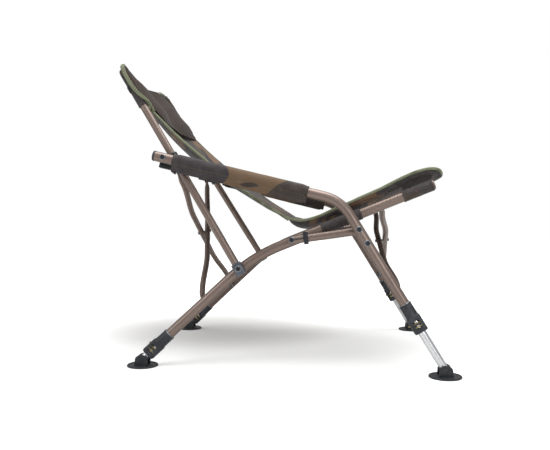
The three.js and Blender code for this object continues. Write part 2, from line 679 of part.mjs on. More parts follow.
// A brace: a joggled tube with a flattened eye at each end and a rivet head where it crosses its twin.
// It hangs from its own side's bracket, and its far eye stands clear of the other side's lug, ahead of
// it, because the fold moves the eye forward
function braceShape(start, end, axis, hand, washer) {
  const run = new THREE.Vector3().subVectors(end, start);
  const length = run.length();
  run.normalize();
  const place = (distance, aside) => (
    start.clone().addScaledVector(run, distance).addScaledVector(axis, aside)
  );
  const ownAside = -hand * (lug.plate / 2 + touchGap + tang.thickness / 2);
  const farAside = lug.plate / 2 + lug.openGap + tang.thickness / 2;
  const midAside = hand * brace.set;
  const halfBend = (brace.bendStart + brace.bendEnd) / 2;
  const tube = tubeAlong([
    place(tang.tubeStart, ownAside),
    place(brace.bendStart * length, ownAside),
    place(halfBend * length, (ownAside + midAside) / 2),
    place(brace.bendEnd * length, midAside),
    place((1 - brace.bendEnd) * length, midAside),
    place((1 - halfBend) * length, (farAside + midAside) / 2),
    place((1 - brace.bendStart) * length, farAside),
    place(length - tang.tubeStart, farAside),
  ], braceTube.outer, 0, 10);
  const middle = (Math.abs(start.y) / (Math.abs(start.y) + Math.abs(end.y))) * length;
  const face = brace.set + braceTube.outer / 2;
  const rivetSpot = place(middle, hand * (face + brace.rivetHeight / 2 - overlap));
  const pieces = [
    tube,
    bar(place(0, ownAside), place(tang.length, ownAside), axis, tang.thickness, tang.width),
    bar(place(length - tang.length, farAside), place(length, farAside), axis, tang.thickness, tang.width),
    rod(place(0, ownAside), axis, tang.width / 2, tang.thickness),
    rod(place(length, farAside), axis, tang.width / 2, tang.thickness),
    rod(rivetSpot, axis, brace.rivet, brace.rivetHeight),
  ];
  if (washer) {
    const inner = 2 * touchGap + braceTube.outer / 2 - brace.set;
    const outer = brace.set - braceTube.outer / 4;
    pieces.push(rod(place(middle, (hand * (inner + outer)) / 2), axis, brace.washer, outer - inner));
  }
  return join(...pieces);
}

// The crossed braces and their brackets, in the chair's own level frame
for (const { side, word } of frames) {
  const add = (name, geometry, material) => chair.add(mesh(`${word}_${name}`, geometry, material));
  const brackets = {
    rear_brace_bracket: bracketShape(side, rearBraceLow, ownRootOut, ownPivotOut, rearAxis),
    front_brace_bracket: bracketShape(side, frontBraceHigh, ownRootOut, ownPivotOut, frontAxis),
    leg_bracket: bracketShape(side, frontBraceLow, legRootOut, legPivotOut, frontAxis),
  };
  for (const [name, geometry] of Object.entries(brackets)) add(name, geometry, platedSteel);
  const washer = side < 0;
  add('rear_brace', braceShape(
    level(side, rearBraceLow, ownPivotOut),
    level(-side, rearBraceHigh, collarPivotOut),
    rearAxis, -side, washer,
  ), bronzePaint);
  add('front_brace', braceShape(
    level(side, frontBraceHigh, ownPivotOut),
    level(-side, frontBraceLow, legPivotOut),
    frontAxis, -side, washer,
  ), bronzePaint);
}

// A smooth line through the chosen points of the sling's edge, with the normal of its upper side
function edgeLine(points, steps, hand) {
  const curve = new THREE.CatmullRomCurve3(
    points.map(([x, z]) => new THREE.Vector3(x, 0, z)),
    false,
    'centripetal',
  );
  return curve.getSpacedPoints(steps).map((point, i) => {
    const run = curve.getTangentAt(i / steps);
    const normal = new THREE.Vector3(-run.z, 0, run.x).multiplyScalar(hand);
    return { x: point.x, z: point.z, part: i / steps, normal };
  });
}

// A padded panel: a ring across the chair at each station, out along its upper face and back along
// its lower one. The faces give how far each stands off the edge line, at v from -1 to 1 across
const panelColumns = 8;
function panel(stations, upper, lower) {
  return skin(stations.map((station) => {
    const width = slingWidth(station);
    const point = (column, offset) => {
      const v = 1 - (2 * column) / panelColumns;
      const base = new THREE.Vector3(station.x, v * width, station.z);
      return base.addScaledVector(station.normal, offset(station, v));
    };
    const ring = [];
    for (let column = 0; column <= panelColumns; column += 1) ring.push(point(column, upper));
    for (let column = panelColumns; column >= 0; column -= 1) ring.push(point(column, lower));
    return ring;
  }));
}

// The sling stays between the pockets on the back tubes
function slingWidth(station) {
  const besidePocket = level(1, { x: 0, z: station.z }, backOut - pocket.radius - 2 * touchGap).y;
  return Math.min(slingHalfWidth, besidePocket);
}

// Padding is full in the middle and drawn in towards the side edges and the sewn ends
function fullness(v, part, padding) {
  const across = Math.sqrt(Math.max(0, 1 - Math.abs(v) ** padding.squareness));
  const toEnd = Math.min(1, Math.min(part, 1 - part) / padding.endLength);
  return across * (hemShare + (1 - hemShare) * Math.sqrt(toEnd));
}

// Seat cushion, which sags between the rails
function seatHang(station, v) {
  return -seat.sag * (1 - v * v) * Math.min(1, station.part / seat.sagStart);
}
function seatFace(station, v) {
  return seatHang(station, v) + seat.crown * fullness(v, station.part, seat);
}
function seatUnderside(station, v) {
  return seatHang(station, v) - (seat.thickness - seat.crown) * fullness(v, station.part, seat) - cloth;
}
chair.add(mesh('seat_cushion', panel(edgeLine(seatEdge, 20, 1), seatFace, seatUnderside), camoCloth));

// Back panel, slung loosely between the back tubes
function backHang(station, v) {
  const fall = THREE.MathUtils.smoothstep(station.z, back.start, back.full);
  const top = headEdge[headEdge.length - 1][1];
  const drawn = 1 - back.drawnIn * THREE.MathUtils.smoothstep(station.z, back.full, top);
  return -back.sag * fall * drawn * (1 - v * v);
}
function backHalf(station, v) {
  return (back.thickness * fullness(v, station.part, back) + cloth) / 2;
}
const backPad = panel(
  edgeLine(backEdge, 14, -1),
  (station, v) => backHang(station, v) + backHalf(station, v),
  (station, v) => backHang(station, v) - backHalf(station, v),
);
chair.add(mesh('back_panel', backPad, camoCloth));

// Head cushion: two lobes either side of a dip. Its lower part lies on the back panel's face
function headBase(station, v) {
  const ahead = 1 - THREE.MathUtils.smoothstep(station.z, head.sewnFrom, head.sewnTo);
  const onPanel = back.thickness / 2 + cloth + touchGap;
  return backHang(station, v) - back.thickness / 2 + (back.thickness / 2 + onPanel) * ahead;
}
function headFace(station, v) {
  const dip = head.lobe * Math.exp(-((v / head.dipWidth) ** 2));
  const plump = backHang(station, v) + (head.thickness - dip) * fullness(v, station.part, head);
  return Math.max(headBase(station, v) + head.skin, plump);
}
chair.add(mesh('head_cushion', panel(edgeLine(headEdge, 12, -1), headFace, headBase), softCloth));

// Two cloth sleeves that hold the seat to a rail. Each has a web sewn to the cushion, and a hem under
// the cushion's edge runs from one web to the other
const seatAndAbove = panel(edgeLine(seatEdge, 20, 1), () => legTube.outer * 2, seatUnderside);
seatAndAbove.translate(0, 0, -touchGap);
for (const { side, word } of frames) {
  const railPoint = (distance, out, up = 0) => {
    const place = along(railCorner, railSlope, distance);
    return level(side, { x: place.x, z: place.z + up }, out);
  };
  const axis = railPoint(railLength, 0).sub(railPoint(0, 0));
  const web = (from, to, low, high) => {
    const middle = (low + high) / 2;
    const start = railPoint(from, -sleeve.inward, middle);
    return bar(start, railPoint(to, -sleeve.inward, middle), sideways, sleeve.web, high - low);
  };
  const pieces = sleeves.flatMap(({ from, to }) => [
    rod(railPoint((from + to) / 2, 0), axis, legTube.outer / 2 + touchGap + sleeve.wall, to - from, 14),
    web(from, to, 0, sleeve.rise),
  ]);
  const hem = web(sleeves[0].from, sleeves[1].to, sleeve.rise - sleeve.hem, sleeve.rise);
  const bore = drill(railPoint(railLength / 2, 0), axis, legTube.outer / 2 + touchGap, 2 * railLength, 14);
  chair.add(mesh(`${word}_rail_sleeves`, cut(join(...pieces, hem), bore, seatAndAbove), camoCloth));
}

// The model's origin is the middle of its footprint, on the ground
chair.updateMatrixWorld(true);
const bounds = new THREE.Box3().setFromObject(chair, true);
const centre = bounds.getCenter(new THREE.Vector3());
chair.position.set(-centre.x, -centre.y, -bounds.min.z);

export default chair;
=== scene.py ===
import math

import bmesh
import bpy
import numpy as np
from mathutils import Matrix, Vector


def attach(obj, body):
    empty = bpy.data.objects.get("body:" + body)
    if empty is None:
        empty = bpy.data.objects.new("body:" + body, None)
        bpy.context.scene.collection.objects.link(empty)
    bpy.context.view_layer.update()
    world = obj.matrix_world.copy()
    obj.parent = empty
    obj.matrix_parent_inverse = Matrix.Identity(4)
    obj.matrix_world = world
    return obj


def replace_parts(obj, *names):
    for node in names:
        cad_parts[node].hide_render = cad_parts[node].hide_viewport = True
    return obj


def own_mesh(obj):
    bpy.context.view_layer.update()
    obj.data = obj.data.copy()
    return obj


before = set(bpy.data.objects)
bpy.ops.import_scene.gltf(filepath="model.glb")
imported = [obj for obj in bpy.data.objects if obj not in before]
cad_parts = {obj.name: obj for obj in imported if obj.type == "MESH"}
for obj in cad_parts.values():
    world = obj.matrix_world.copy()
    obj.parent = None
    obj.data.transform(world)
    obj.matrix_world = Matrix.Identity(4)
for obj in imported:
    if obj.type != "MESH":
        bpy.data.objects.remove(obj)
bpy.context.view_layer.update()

# Rear leg and seat rail: one 25 mm steel tube on each side, bent in the middle and painted a
# bronze-brown metallic. The two side frames lean towards each other, so each tube is drawn in its
# frame's own plane, in millimetres, and then leant over.
LEAN = math.radians(6.2)
HALF_WIDTH = 275.5
FORWARD = 23.21
SIDES = {"right": -1, "left": 1}
X_AXIS, Y_AXIS, Z_AXIS = np.eye(3)


def place(side, x, z, out=0.0):
    """Millimetres in a side frame's plane, leant over: the plane's up direction tips inwards by LEAN."""
    x, z, out = np.broadcast_arrays(*(np.asarray(value, float) for value in (x, z, out)))
    y = side * (HALF_WIDTH + out * math.cos(LEAN) - z * math.sin(LEAN))
    return np.stack([x + FORWARD, y, out * math.sin(LEAN) + z * math.cos(LEAN)], -1)


def across(side):
    """The direction square to a side frame's plane, away from the chair's middle."""
    return np.array([0.0, side * math.cos(LEAN), math.sin(LEAN)])


def unit(vectors):
    """Vectors divided by their own lengths."""
    return vectors / np.linalg.norm(vectors, axis=-1, keepdims=True)


def run_length(points):
    """How far along a line each of its points lies: the sum of the steps before it."""
    return np.concatenate([[0], np.cumsum(np.linalg.norm(np.diff(points, axis=0), axis=1))])


def read_at(stops, lengths, rows):
    """Rows read off at stops between the lengths that they belong to, column by column."""
    return np.stack([np.interp(stops, lengths, column) for column in rows.T], -1)


def even(points, step):
    """The same line with its points an even step apart, by length along it."""
    lengths = run_length(points)
    stops = np.linspace(0, lengths[-1], max(2, round(lengths[-1] / step) + 1))
    return read_at(stops, lengths, points)


def linked(name, data):
    """A new object in the scene."""
    piece = bpy.data.objects.new(name, data)
    bpy.context.scene.collection.objects.link(piece)
    return piece


def mesh_piece(name, points, faces, finish, body, bend_limit=35):
    """An object from points in millimetres, its faces turned outwards so that its volume is positive."""
    corner = np.array([face[:3] for face in faces])
    a, b, c = (points[corner[:, i]] for i in range(3))
    quads = np.array([face for face in faces if len(face) == 4]).reshape(-1, 4)
    volume = np.einsum("ij,ij->", a, np.cross(b, c))
    a, b, c = (points[quads[:, i]] for i in (0, 2, 3))
    volume += np.einsum("ij,ij->", a, np.cross(b, c))
    if volume < 0:
        faces = [face[::-1] for face in faces]
    mesh = bpy.data.meshes.new(name)
    mesh.from_pydata((points / 1000).tolist(), [], faces)
    mesh.shade_smooth()
    mesh.set_sharp_from_angle(angle=math.radians(bend_limit))
    mesh.materials.append(finish)
    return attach(linked(name, mesh), body)


def skin(name, rings, finish, body, ring_closed=False, **options):
    """A closed surface through rings of points: quads from each ring to the next. Each end is a fan to
    its own middle, unless the last ring goes on to the first."""
    rows, columns, _ = rings.shape
    index = np.arange(rows * columns).reshape(rows, columns)
    after = np.roll(index, -1, axis=1)
    if ring_closed:
        ahead, ahead_after = np.roll(index, -1, axis=0), np.roll(after, -1, axis=0)
        faces = np.stack([index, after, ahead_after, ahead], -1).reshape(-1, 4).tolist()
        return mesh_piece(name, rings.reshape(-1, 3), faces, finish, body, **options)
    faces = np.stack([index[:-1], after[:-1], after[1:], index[1:]], -1).reshape(-1, 4).tolist()
    first, last = rows * columns, rows * columns + 1
    faces += np.stack([np.full(columns, first), after[0], index[0]], -1).tolist()
    faces += np.stack([np.full(columns, last), index[-1], after[-1]], -1).tolist()
    points = np.concatenate([rings.reshape(-1, 3), [rings[0].mean(0), rings[-1].mean(0)]])
    return mesh_piece(name, points, faces, finish, body, **options)


def carried(path, normal, section):
    """Rings of a flat section carried along a path: its first coordinate runs along the normal, its
    second square to the normal and to the path. A section may differ from point to point."""
    ahead = unit(np.gradient(path, axis=0))
    first = unit(np.broadcast_to(normal, path.shape) - ahead * (ahead @ normal)[:, None])
    second = np.cross(ahead, first)
    section = np.broadcast_to(section, (len(path), *np.shape(section)[-2:]))
    return path[:, None] + first[:, None] * section[..., :1] + second[:, None] * section[..., 1:]


def circle(sides):
    """Points of the unit circle."""
    angle = np.linspace(0, 2 * math.pi, sides, endpoint=False)
    return np.stack([np.cos(angle), np.sin(angle)], -1)


def turned(centre, axis, first, profile, ring):
    """Rings of a turned shape. Each row of the profile is a distance along the axis from the centre and
    a radius, by which the ring's points are spread along first and square to it."""
    spokes = ring[:, :1] * first + ring[:, 1:] * np.cross(axis, first)
    return np.array([centre + distance * axis + radius * spokes for distance, radius in profile])


def pipe(name, path, normal, radius, wall, finish, body, mouth=22.0, step=6.0):
    """A tube open at both ends: its outside is a circle carried along the path, and at each end the
    surface turns over a rounded lip and runs back inside as far as the mouth is deep."""
    path = even(path, step)
    start = unit(path[0] - path[1])
    end = unit(path[-1] - path[-2])
    lip = [(-mouth, radius - wall), (-0.3, radius - wall), (0, radius - 0.7 * wall), (0, radius - 0.3 * wall),
           (-0.4, radius)]
    centres = [path[0] + start * along for along, _ in lip]
    radii = [ring for _, ring in lip]
    centres += list(path[1:-1]) + [path[-1] + end * along for along, _ in reversed(lip)]
    radii += [radius] * (len(path) - 2) + [ring for _, ring in reversed(lip)]
    first = unit(normal)
    ahead = np.concatenate([
        np.broadcast_to(-start, (len(lip), 3)), unit(np.gradient(path, axis=0))[1:-1],
        np.broadcast_to(end, (len(lip), 3)),
    ])
    second = unit(np.cross(ahead, first))
    ring = circle(32)
    rings = (np.array(centres)[:, None] + np.array(radii)[:, None, None] * (
        first * ring[:, :1] + second[:, None] * ring[:, 1:]))
    return skin(name, rings, finish, body)


def heading(slope):
    """A unit step at a slope in a side frame's plane."""
    return np.array([math.cos(slope), math.sin(slope)])


def bent_run(corner, slope_in, length_in, slope_out, length_out, radius):
    """A straight, an arc of the bend's radius and a straight, in a side frame's plane."""
    turn = slope_out - slope_in
    hand = math.copysign(1, turn)
    entry = corner - heading(slope_in) * radius * math.tan(abs(turn) / 2)
    centre = entry + heading(slope_in + hand * math.pi / 2) * radius
    slopes = slope_in + turn * np.linspace(0, 1, 40) - hand * math.pi / 2
    arc = centre + radius * np.stack([np.cos(slopes), np.sin(slopes)], -1)
    ends = corner - heading(slope_in) * length_in, corner + heading(slope_out) * length_out
    return np.concatenate([ends[:1], arc, ends[1:]])


class Value:
    """A number that varies over a surface. Arithmetic on it adds the shader's own Math nodes."""

    def __init__(self, finish, socket):
        self.finish = finish
        self.socket = socket

    def _math(self, operation, *values):
        return self.finish.node("ShaderNodeMath", {"operation": operation}, dict(enumerate(values)))

    def __add__(self, other):
        return self._math("ADD", self, other)

    def __mul__(self, other):
        return self._math("MULTIPLY", self, other)

    def __sub__(self, other):
        return self._math("SUBTRACT", self, other)

    def __rsub__(self, other):
        return self._math("SUBTRACT", other, self)

    __radd__ = __add__
    __rmul__ = __mul__

    def power(self, exponent):
        """The number raised to an exponent."""
        return self._math("POWER", self, exponent)

    def size(self):
        """The number without its sign."""
        return self._math("ABSOLUTE", self)

    def above(self, level, softness):
        """0 below the level and 1 above it, with a soft step of that half width."""
        ends = {"Value": self, "From Min": level - softness, "From Max": level + softness}
        return self.finish.node("ShaderNodeMapRange", {"interpolation_type": "SMOOTHSTEP"}, ends)


class Finish:
    """A material as it is mixed. node() adds any shader node and gives back what comes out of it."""

    def __init__(self, name, **shine):
        self.material = bpy.data.materials.new(name)
        self.material.use_nodes = True
        self.tree = self.material.node_tree
        self.shader = self.tree.nodes["Principled BSDF"]
        self.place = self.node("ShaderNodeTexCoord", output="Object")
        for socket, value in shine.items():
            self.shader.inputs[socket.replace("_", " ").title().replace("Ior", "IOR")].default_value = value

    def node(self, kind, settings=None, inputs=None, output=0):
        """A node of a kind: its settings are set first, and its sockets then take values or links."""
        made = self.tree.nodes.new(kind)
        for setting, value in (settings or {}).items():
            setattr(made, setting, value)
        for socket, value in (inputs or {}).items():
            if isinstance(value, Value):
                self.tree.links.new(value.socket, made.inputs[socket])
            else:
                made.inputs[socket].default_value = value
        return Value(self, made.outputs[output])

    def noise(self, scale, detail=2.0, roughness=0.5, distortion=0.0, at=None):
        """Cloudy noise about 0.5, finer as the scale grows."""
        return self.node("ShaderNodeTexNoise", None, {
            "Vector": at or self.place, "Scale": scale, "Detail": detail, "Roughness": roughness,
            "Distortion": distortion,
        })

    def mapped(self, scale=(1, 1, 1), shift=(0, 0, 0)):
        """The place on the piece, stretched by a scale and then shifted."""
        place_inputs = {"Vector": self.place, "Scale": scale, "Location": shift}
        return self.node("ShaderNodeMapping", None, place_inputs)

    def coordinate(self, axis, at=None):
        """One number of a place: X, Y or Z."""
        return self.node("ShaderNodeSeparateXYZ", None, {"Vector": at or self.place}, "XYZ".index(axis))

    def mix(self, share, first, second):
        """The first colour where the share is 0 and the second where it is 1."""
        return self.node("ShaderNodeMix", {"data_type": "RGBA"}, {0: share, 6: first, 7: second}, 2)

    def bump(self, height, distance, strength=1.0, under=None):
        """A relief of a depth in metres, over another one if given."""
        inputs = {"Height": height, "Distance": distance, "Strength": strength}
        if under:
            inputs["Normal"] = under
        return self.node("ShaderNodeBump", None, inputs)

    def done(self, **sockets):
        """The material, with these values or links in its shader's sockets."""
        for socket, value in sockets.items():
            target = self.shader.inputs[socket.replace("_", " ").title()]
            if isinstance(value, Value):
                self.tree.links.new(value.socket, target)
            else:
                target.default_value = value
        return self.material


def paint(red, green, blue):
    """A colour as a screen shows it, from 0 to 255, as the linear colour that shaders take."""
    values = np.array([red, green, blue]) / 255
    return (*np.where(values <= 0.04045, values / 12.92, ((values + 0.055) / 1.055) ** 2.4), 1.0)


def bronze_paint():
    """Metallic paint: fine flake in the colour, a soft orange peel, and a slow drift of tone."""
    finish = Finish("bronze_paint", metallic=0.55, specular_ior_level=0.5)
    flake = finish.noise(1400, 1)
    drift = finish.noise(9, 3)
    tone = (flake - 0.5) * 0.5 + (drift - 0.5) * 0.55 + 0.5
    colour = finish.mix(tone, paint(104, 89, 82), paint(150, 133, 124))
    peel = finish.bump(finish.noise(260, 2), 0.00012, 0.35)
    roughness = (finish.noise(30, 4) - 0.5) * 0.16 + 0.36
    return finish.done(base_color=colour, roughness=roughness, normal=peel)


BRONZE = bronze_paint()
LEG_RADIUS = 12.5
LEG_WALL = 1.5
RAIL_CORNER = np.array([-90.7, 271.8])
REAR_LEG_SLOPE = math.radians(43.3)
RAIL_SLOPE = math.radians(22.2)
REAR_LEG_LENGTH = 306
RAIL_LENGTH = 480
RAIL_BEND = 400

rail_run = bent_run(RAIL_CORNER, REAR_LEG_SLOPE, REAR_LEG_LENGTH, RAIL_SLOPE, RAIL_LENGTH, RAIL_BEND)
for word, side in SIDES.items():
    path = place(side, rail_run[:, 0], rail_run[:, 1])
    rail = pipe(f"{word}_rail_tube", path, across(side), LEG_RADIUS, LEG_WALL, BRONZE, f"{word}_frame", 30)
    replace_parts(rail, f"{word}_rear_leg_rail")

# Armrest and front leg: another 25 mm tube on each side, bent over the sitter's knee. It lies outside
# the rail and carries the pad, the front clamp and the bolts of the link.
BACK_OUT = 22.4
ARM_OUT = 47.7
ARM_CORNER = np.array([125.5, 406.4])
ARM_SLOPE = math.radians(-13.64)
FRONT_LEG_SLOPE = math.radians(-58.6)
ARM_LENGTH = 470
FRONT_LEG_LENGTH = 313
ARM_BEND = 100

arm_run = bent_run(ARM_CORNER, ARM_SLOPE, ARM_LENGTH, FRONT_LEG_SLOPE, FRONT_LEG_LENGTH, ARM_BEND)
for word, side in SIDES.items():
    path = place(side, arm_run[:, 0], arm_run[:, 1], ARM_OUT)
    arm = pipe(f"{word}_arm_tube", path, across(side), LEG_RADIUS, LEG_WALL, BRONZE, f"{word}_arm", 30)
    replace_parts(arm, f"{word}_arm_front_leg")

# Back tube: a straight 19 mm tube that turns on a bolt at the rear leg's bend and leans back. The arm
# rides up and down it on a collar.
BACK_RADIUS = 9.5
BACK_WALL = 1.5
BACK_SLOPE = math.pi / 2 + math.radians(31.4)
BACK_PIVOT = np.array([-121.95, 240.76])
BACK_LENGTH = 590
BACK_TAIL = 13

back_ends = BACK_PIVOT + np.outer([-BACK_TAIL, BACK_LENGTH], heading(BACK_SLOPE))
for word, side in SIDES.items():
    path = place(side, back_ends[:, 0], back_ends[:, 1], BACK_OUT)
    tube = pipe(f"{word}_back_post", path, across(side), BACK_RADIUS, BACK_WALL, BRONZE, f"{word}_back", 9)
    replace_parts(tube, f"{word}_back_tube")

# Side link: a short 19 mm bar with rounded, pressed ends, painted like the tubes. A bolt at its low end
# holds it to the rail, and one at its high end to the front leg.
LINK_LOW = np.array([6.98, 311.66])
LINK_HIGH = np.array([168.74, 335.56])
LINK_RADIUS = 9.5
LINK_PRESS = 0.16
LINK_PRESS_REACH = 14

for word, side in SIDES.items():
    ends = place(side, [LINK_LOW[0], LINK_HIGH[0]], [LINK_LOW[1], LINK_HIGH[1]], BACK_OUT)
    ahead = unit(ends[1] - ends[0])
    span = np.linalg.norm(ends[1] - ends[0])
    reach = np.concatenate([
        -LINK_RADIUS * np.cos(np.linspace(0.05, math.pi / 2, 9)), np.linspace(8, span - 8, 12),
        span + LINK_RADIUS * np.sin(np.linspace(0, math.pi / 2 - 0.05, 9)),
    ])
    beyond = np.clip(np.maximum(-reach, reach - span), 0, LINK_RADIUS)
    round_off = np.sqrt(np.maximum(1 - (beyond / LINK_RADIUS) ** 2, 0.002))
    from_end = np.minimum(np.abs(reach), np.abs(reach - span))
    pressed = 1 - LINK_PRESS * np.exp(-(from_end / LINK_PRESS_REACH) ** 2)
    section = LINK_RADIUS * np.stack([pressed * round_off ** 0.35, round_off], -1)[:, None] * circle(32)
    rings = carried(ends[0] + reach[:, None] * ahead, across(side), section)
    link = skin(f"{word}_link_bar", rings, BRONZE, f"{word}_link")
    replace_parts(link, f"{word}_side_link")

# Crossed braces: two joggled 15 mm tubes at the front and two at the rear, each with a flattened eye
# at both ends. A rivet holds each pair together where they cross.
BRACE_RADIUS = 7.5
LEG_END_GAP = 0.3
LUG_PLATE = 3
TANG_THICKNESS = 4
TANG_HALF_WIDTH = 7.5
FLAT_LENGTH = 14
FLAT_TAPER = 26
EYE_ROUND = 4
OPEN_GAP = 2.6
BRACE_SET = 8.5
JOGGLE = (0.09, 0.34)
RIVET = [(-19.5, 1.5), (-19.2, 3.4), (-18.2, 4.8), (-16.4, 5.0), (-16.2, 3.0)]
SWIVEL_DEPTH = 14
LUG_DEPTH = 24
COLLAR_HALF = 13.4
OWN_OUT = -(LEG_RADIUS + LEG_END_GAP + SWIVEL_DEPTH)
COLLAR_LUG_OUT = BACK_OUT - COLLAR_HALF - LUG_DEPTH
LEG_LUG_OUT = ARM_OUT - LEG_RADIUS - LEG_END_GAP - LUG_DEPTH
COLLAR_LUG = np.array([-297.33, 490.10])
REAR_BRACKET = RAIL_CORNER - 173 * heading(REAR_LEG_SLOPE)
FRONT_BRACKET = RAIL_CORNER + 351 * heading(RAIL_SLOPE)
LEG_LUG = ARM_CORNER + 262 * heading(FRONT_LEG_SLOPE)
BRACE_ENDS = {
    "rear": (REAR_BRACKET, OWN_OUT, COLLAR_LUG, COLLAR_LUG_OUT),
    "front": (FRONT_BRACKET, OWN_OUT, LEG_LUG, LEG_LUG_OUT),
}


def brace_line(start, end, axis, hand):
    """The brace's middle line: beside its own lug, over to one side where it crosses its twin, and in
    front of the far lug, each joggle a smooth step. Returns points and the reach along it."""
    span = end - start
    length = np.linalg.norm(span)
    reach = np.linspace(0, 1, 90)
    own = -hand * (LUG_PLATE / 2 + LEG_END_GAP + TANG_THICKNESS / 2)
    far = LUG_PLATE / 2 + OPEN_GAP + TANG_THICKNESS / 2
    low, high = JOGGLE
    step_up = np.clip((reach - low) / (high - low), 0, 1)
    step_down = np.clip((1 - reach - low) / (high - low), 0, 1)
    smooth = [t * t * (3 - 2 * t) for t in (step_up, step_down)]
    middle = hand * BRACE_SET
    aside = np.where(reach < 0.5, own + (middle - own) * smooth[0], far + (middle - far) * smooth[1])
    return start + reach[:, None] * span + aside[:, None] * axis, reach * length


for kind, (near, near_out, high_point, far_out) in BRACE_ENDS.items():
    own_end = place(1, near[0], near[1], near_out)
    far_end = place(1, high_point[0], high_point[1], far_out)
    low, high = (own_end, far_end) if kind == "rear" else (far_end, own_end)
    axis = unit(np.array([high[2] - low[2], 0, low[0] - high[0]]))
    for word, side in SIDES.items():
        start = place(side, near[0], near[1], near_out)
        end = place(-side, high_point[0], high_point[1], far_out)
        hand = -side
        line, reach = brace_line(start, end, axis, hand)
        length = reach[-1]
        from_end = np.minimum(reach, length - reach)
        past_eye = np.clip(EYE_ROUND - from_end, 0, EYE_ROUND)
        flat = 1 - np.clip((from_end - FLAT_LENGTH) / FLAT_TAPER, 0, 1) ** 0.8
        eye = np.sqrt(np.clip(1 - (past_eye / (1.15 * EYE_ROUND)) ** 2, 0.02, 1))
        thick = BRACE_RADIUS + (TANG_THICKNESS / 2 - BRACE_RADIUS) * flat
        wide = BRACE_RADIUS + (TANG_HALF_WIDTH * 1.12 - BRACE_RADIUS) * flat
        overrun = np.where(reach < length / 2, -1, 1) * past_eye * 1.8
        section = np.stack([thick * np.minimum(1, eye * 1.3), wide * eye], -1)[:, None] * circle(24)
        rings = carried(line, axis, section) + (overrun[:, None] * unit(end - start))[:, None]
        brace = skin(f"{word}_{kind}_cross_tube", rings, BRONZE, f"{word}_{kind}_cross")
        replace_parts(brace, f"{word}_{kind}_brace")
    near_right = place(-1, near[0], near[1], near_out)
    share = near_right[1] / (near_right[1] - far_end[1])
    crossing = near_right + share * (far_end - near_right)
    rivet_rows = RIVET + [(-reach, radius) for reach, radius in RIVET[::-1]]
    rivet_rings = turned(crossing, axis, across(1), rivet_rows, circle(24))
    rivet = skin(f"{kind}_cross_rivet", rivet_rings, BRONZE, f"right_{kind}_cross")

# Seat: a padded panel of camouflage cloth slung between the rails. It sags in the middle, its sides
# pull in towards the edge, and a sage green tape is folded over the edge and sewn down.
SEAT_EDGE = [
    (-2, 366), (24, 361), (46, 364), (72, 372), (102, 386), (140, 403), (175, 419), (224, 441),
    (273, 466), (310, 482), (345, 490), (368, 487), (381, 474),
]
SLING_HALF = 240
POCKET_ROOM = 9.6
SEAT_CROWN = 3
SEAT_DEPTH = 21
SEAT_SAG = 16
SEAT_SAG_START = 1 / 3
TAPE_INSET = 5.5
TAPE_HALF = (4.8, 3.4)
TAPE_POWER = 2 / 0.62
TAPE_LAP = 7
CORNER = 34
PUCKER_PITCH = 26
PUCKER_REACH = 16
CLOTH_INSET = 4.0
SEAT_SEAMS = (0.30, 0.64)
SEAM_DEPTH = 2.2
SEAM_HALF = 5
STITCH_PITCH = 4.4
STITCH_INSET = 3.6
STITCH_RISE = TAPE_HALF[1] + 0.1
SEAT_FOLD = {"keep": 0.72, "anchor": 0.235}
WEAVE = 1500


def smooth_line(points, count, place_columns=2):
    """An evenly spaced line through the points: cubics whose slope at each point is its neighbours'.
    Only the first columns are places. What the others hold is carried smoothly along."""
    points = np.asarray(points, float)
    knots = run_length(points[:, :place_columns])
    slopes = np.gradient(points, knots, axis=0)
    at = np.linspace(0, knots[-1], 600)
    left = np.clip(np.searchsorted(knots, at, side="right") - 1, 0, len(knots) - 2)
    span = (knots[left + 1] - knots[left])[:, None]
    t = (at - knots[left])[:, None] / span
    fine = ((1 + 2 * t) * (1 - t) ** 2 * points[left] + t * (1 - t) ** 2 * span * slopes[left]
            + t * t * (3 - 2 * t) * points[left + 1] + t * t * (t - 1) * span * slopes[left + 1])
    lengths = run_length(fine[:, :place_columns])
    stops = np.linspace(0, lengths[-1], count)
    return read_at(stops, lengths, fine), stops


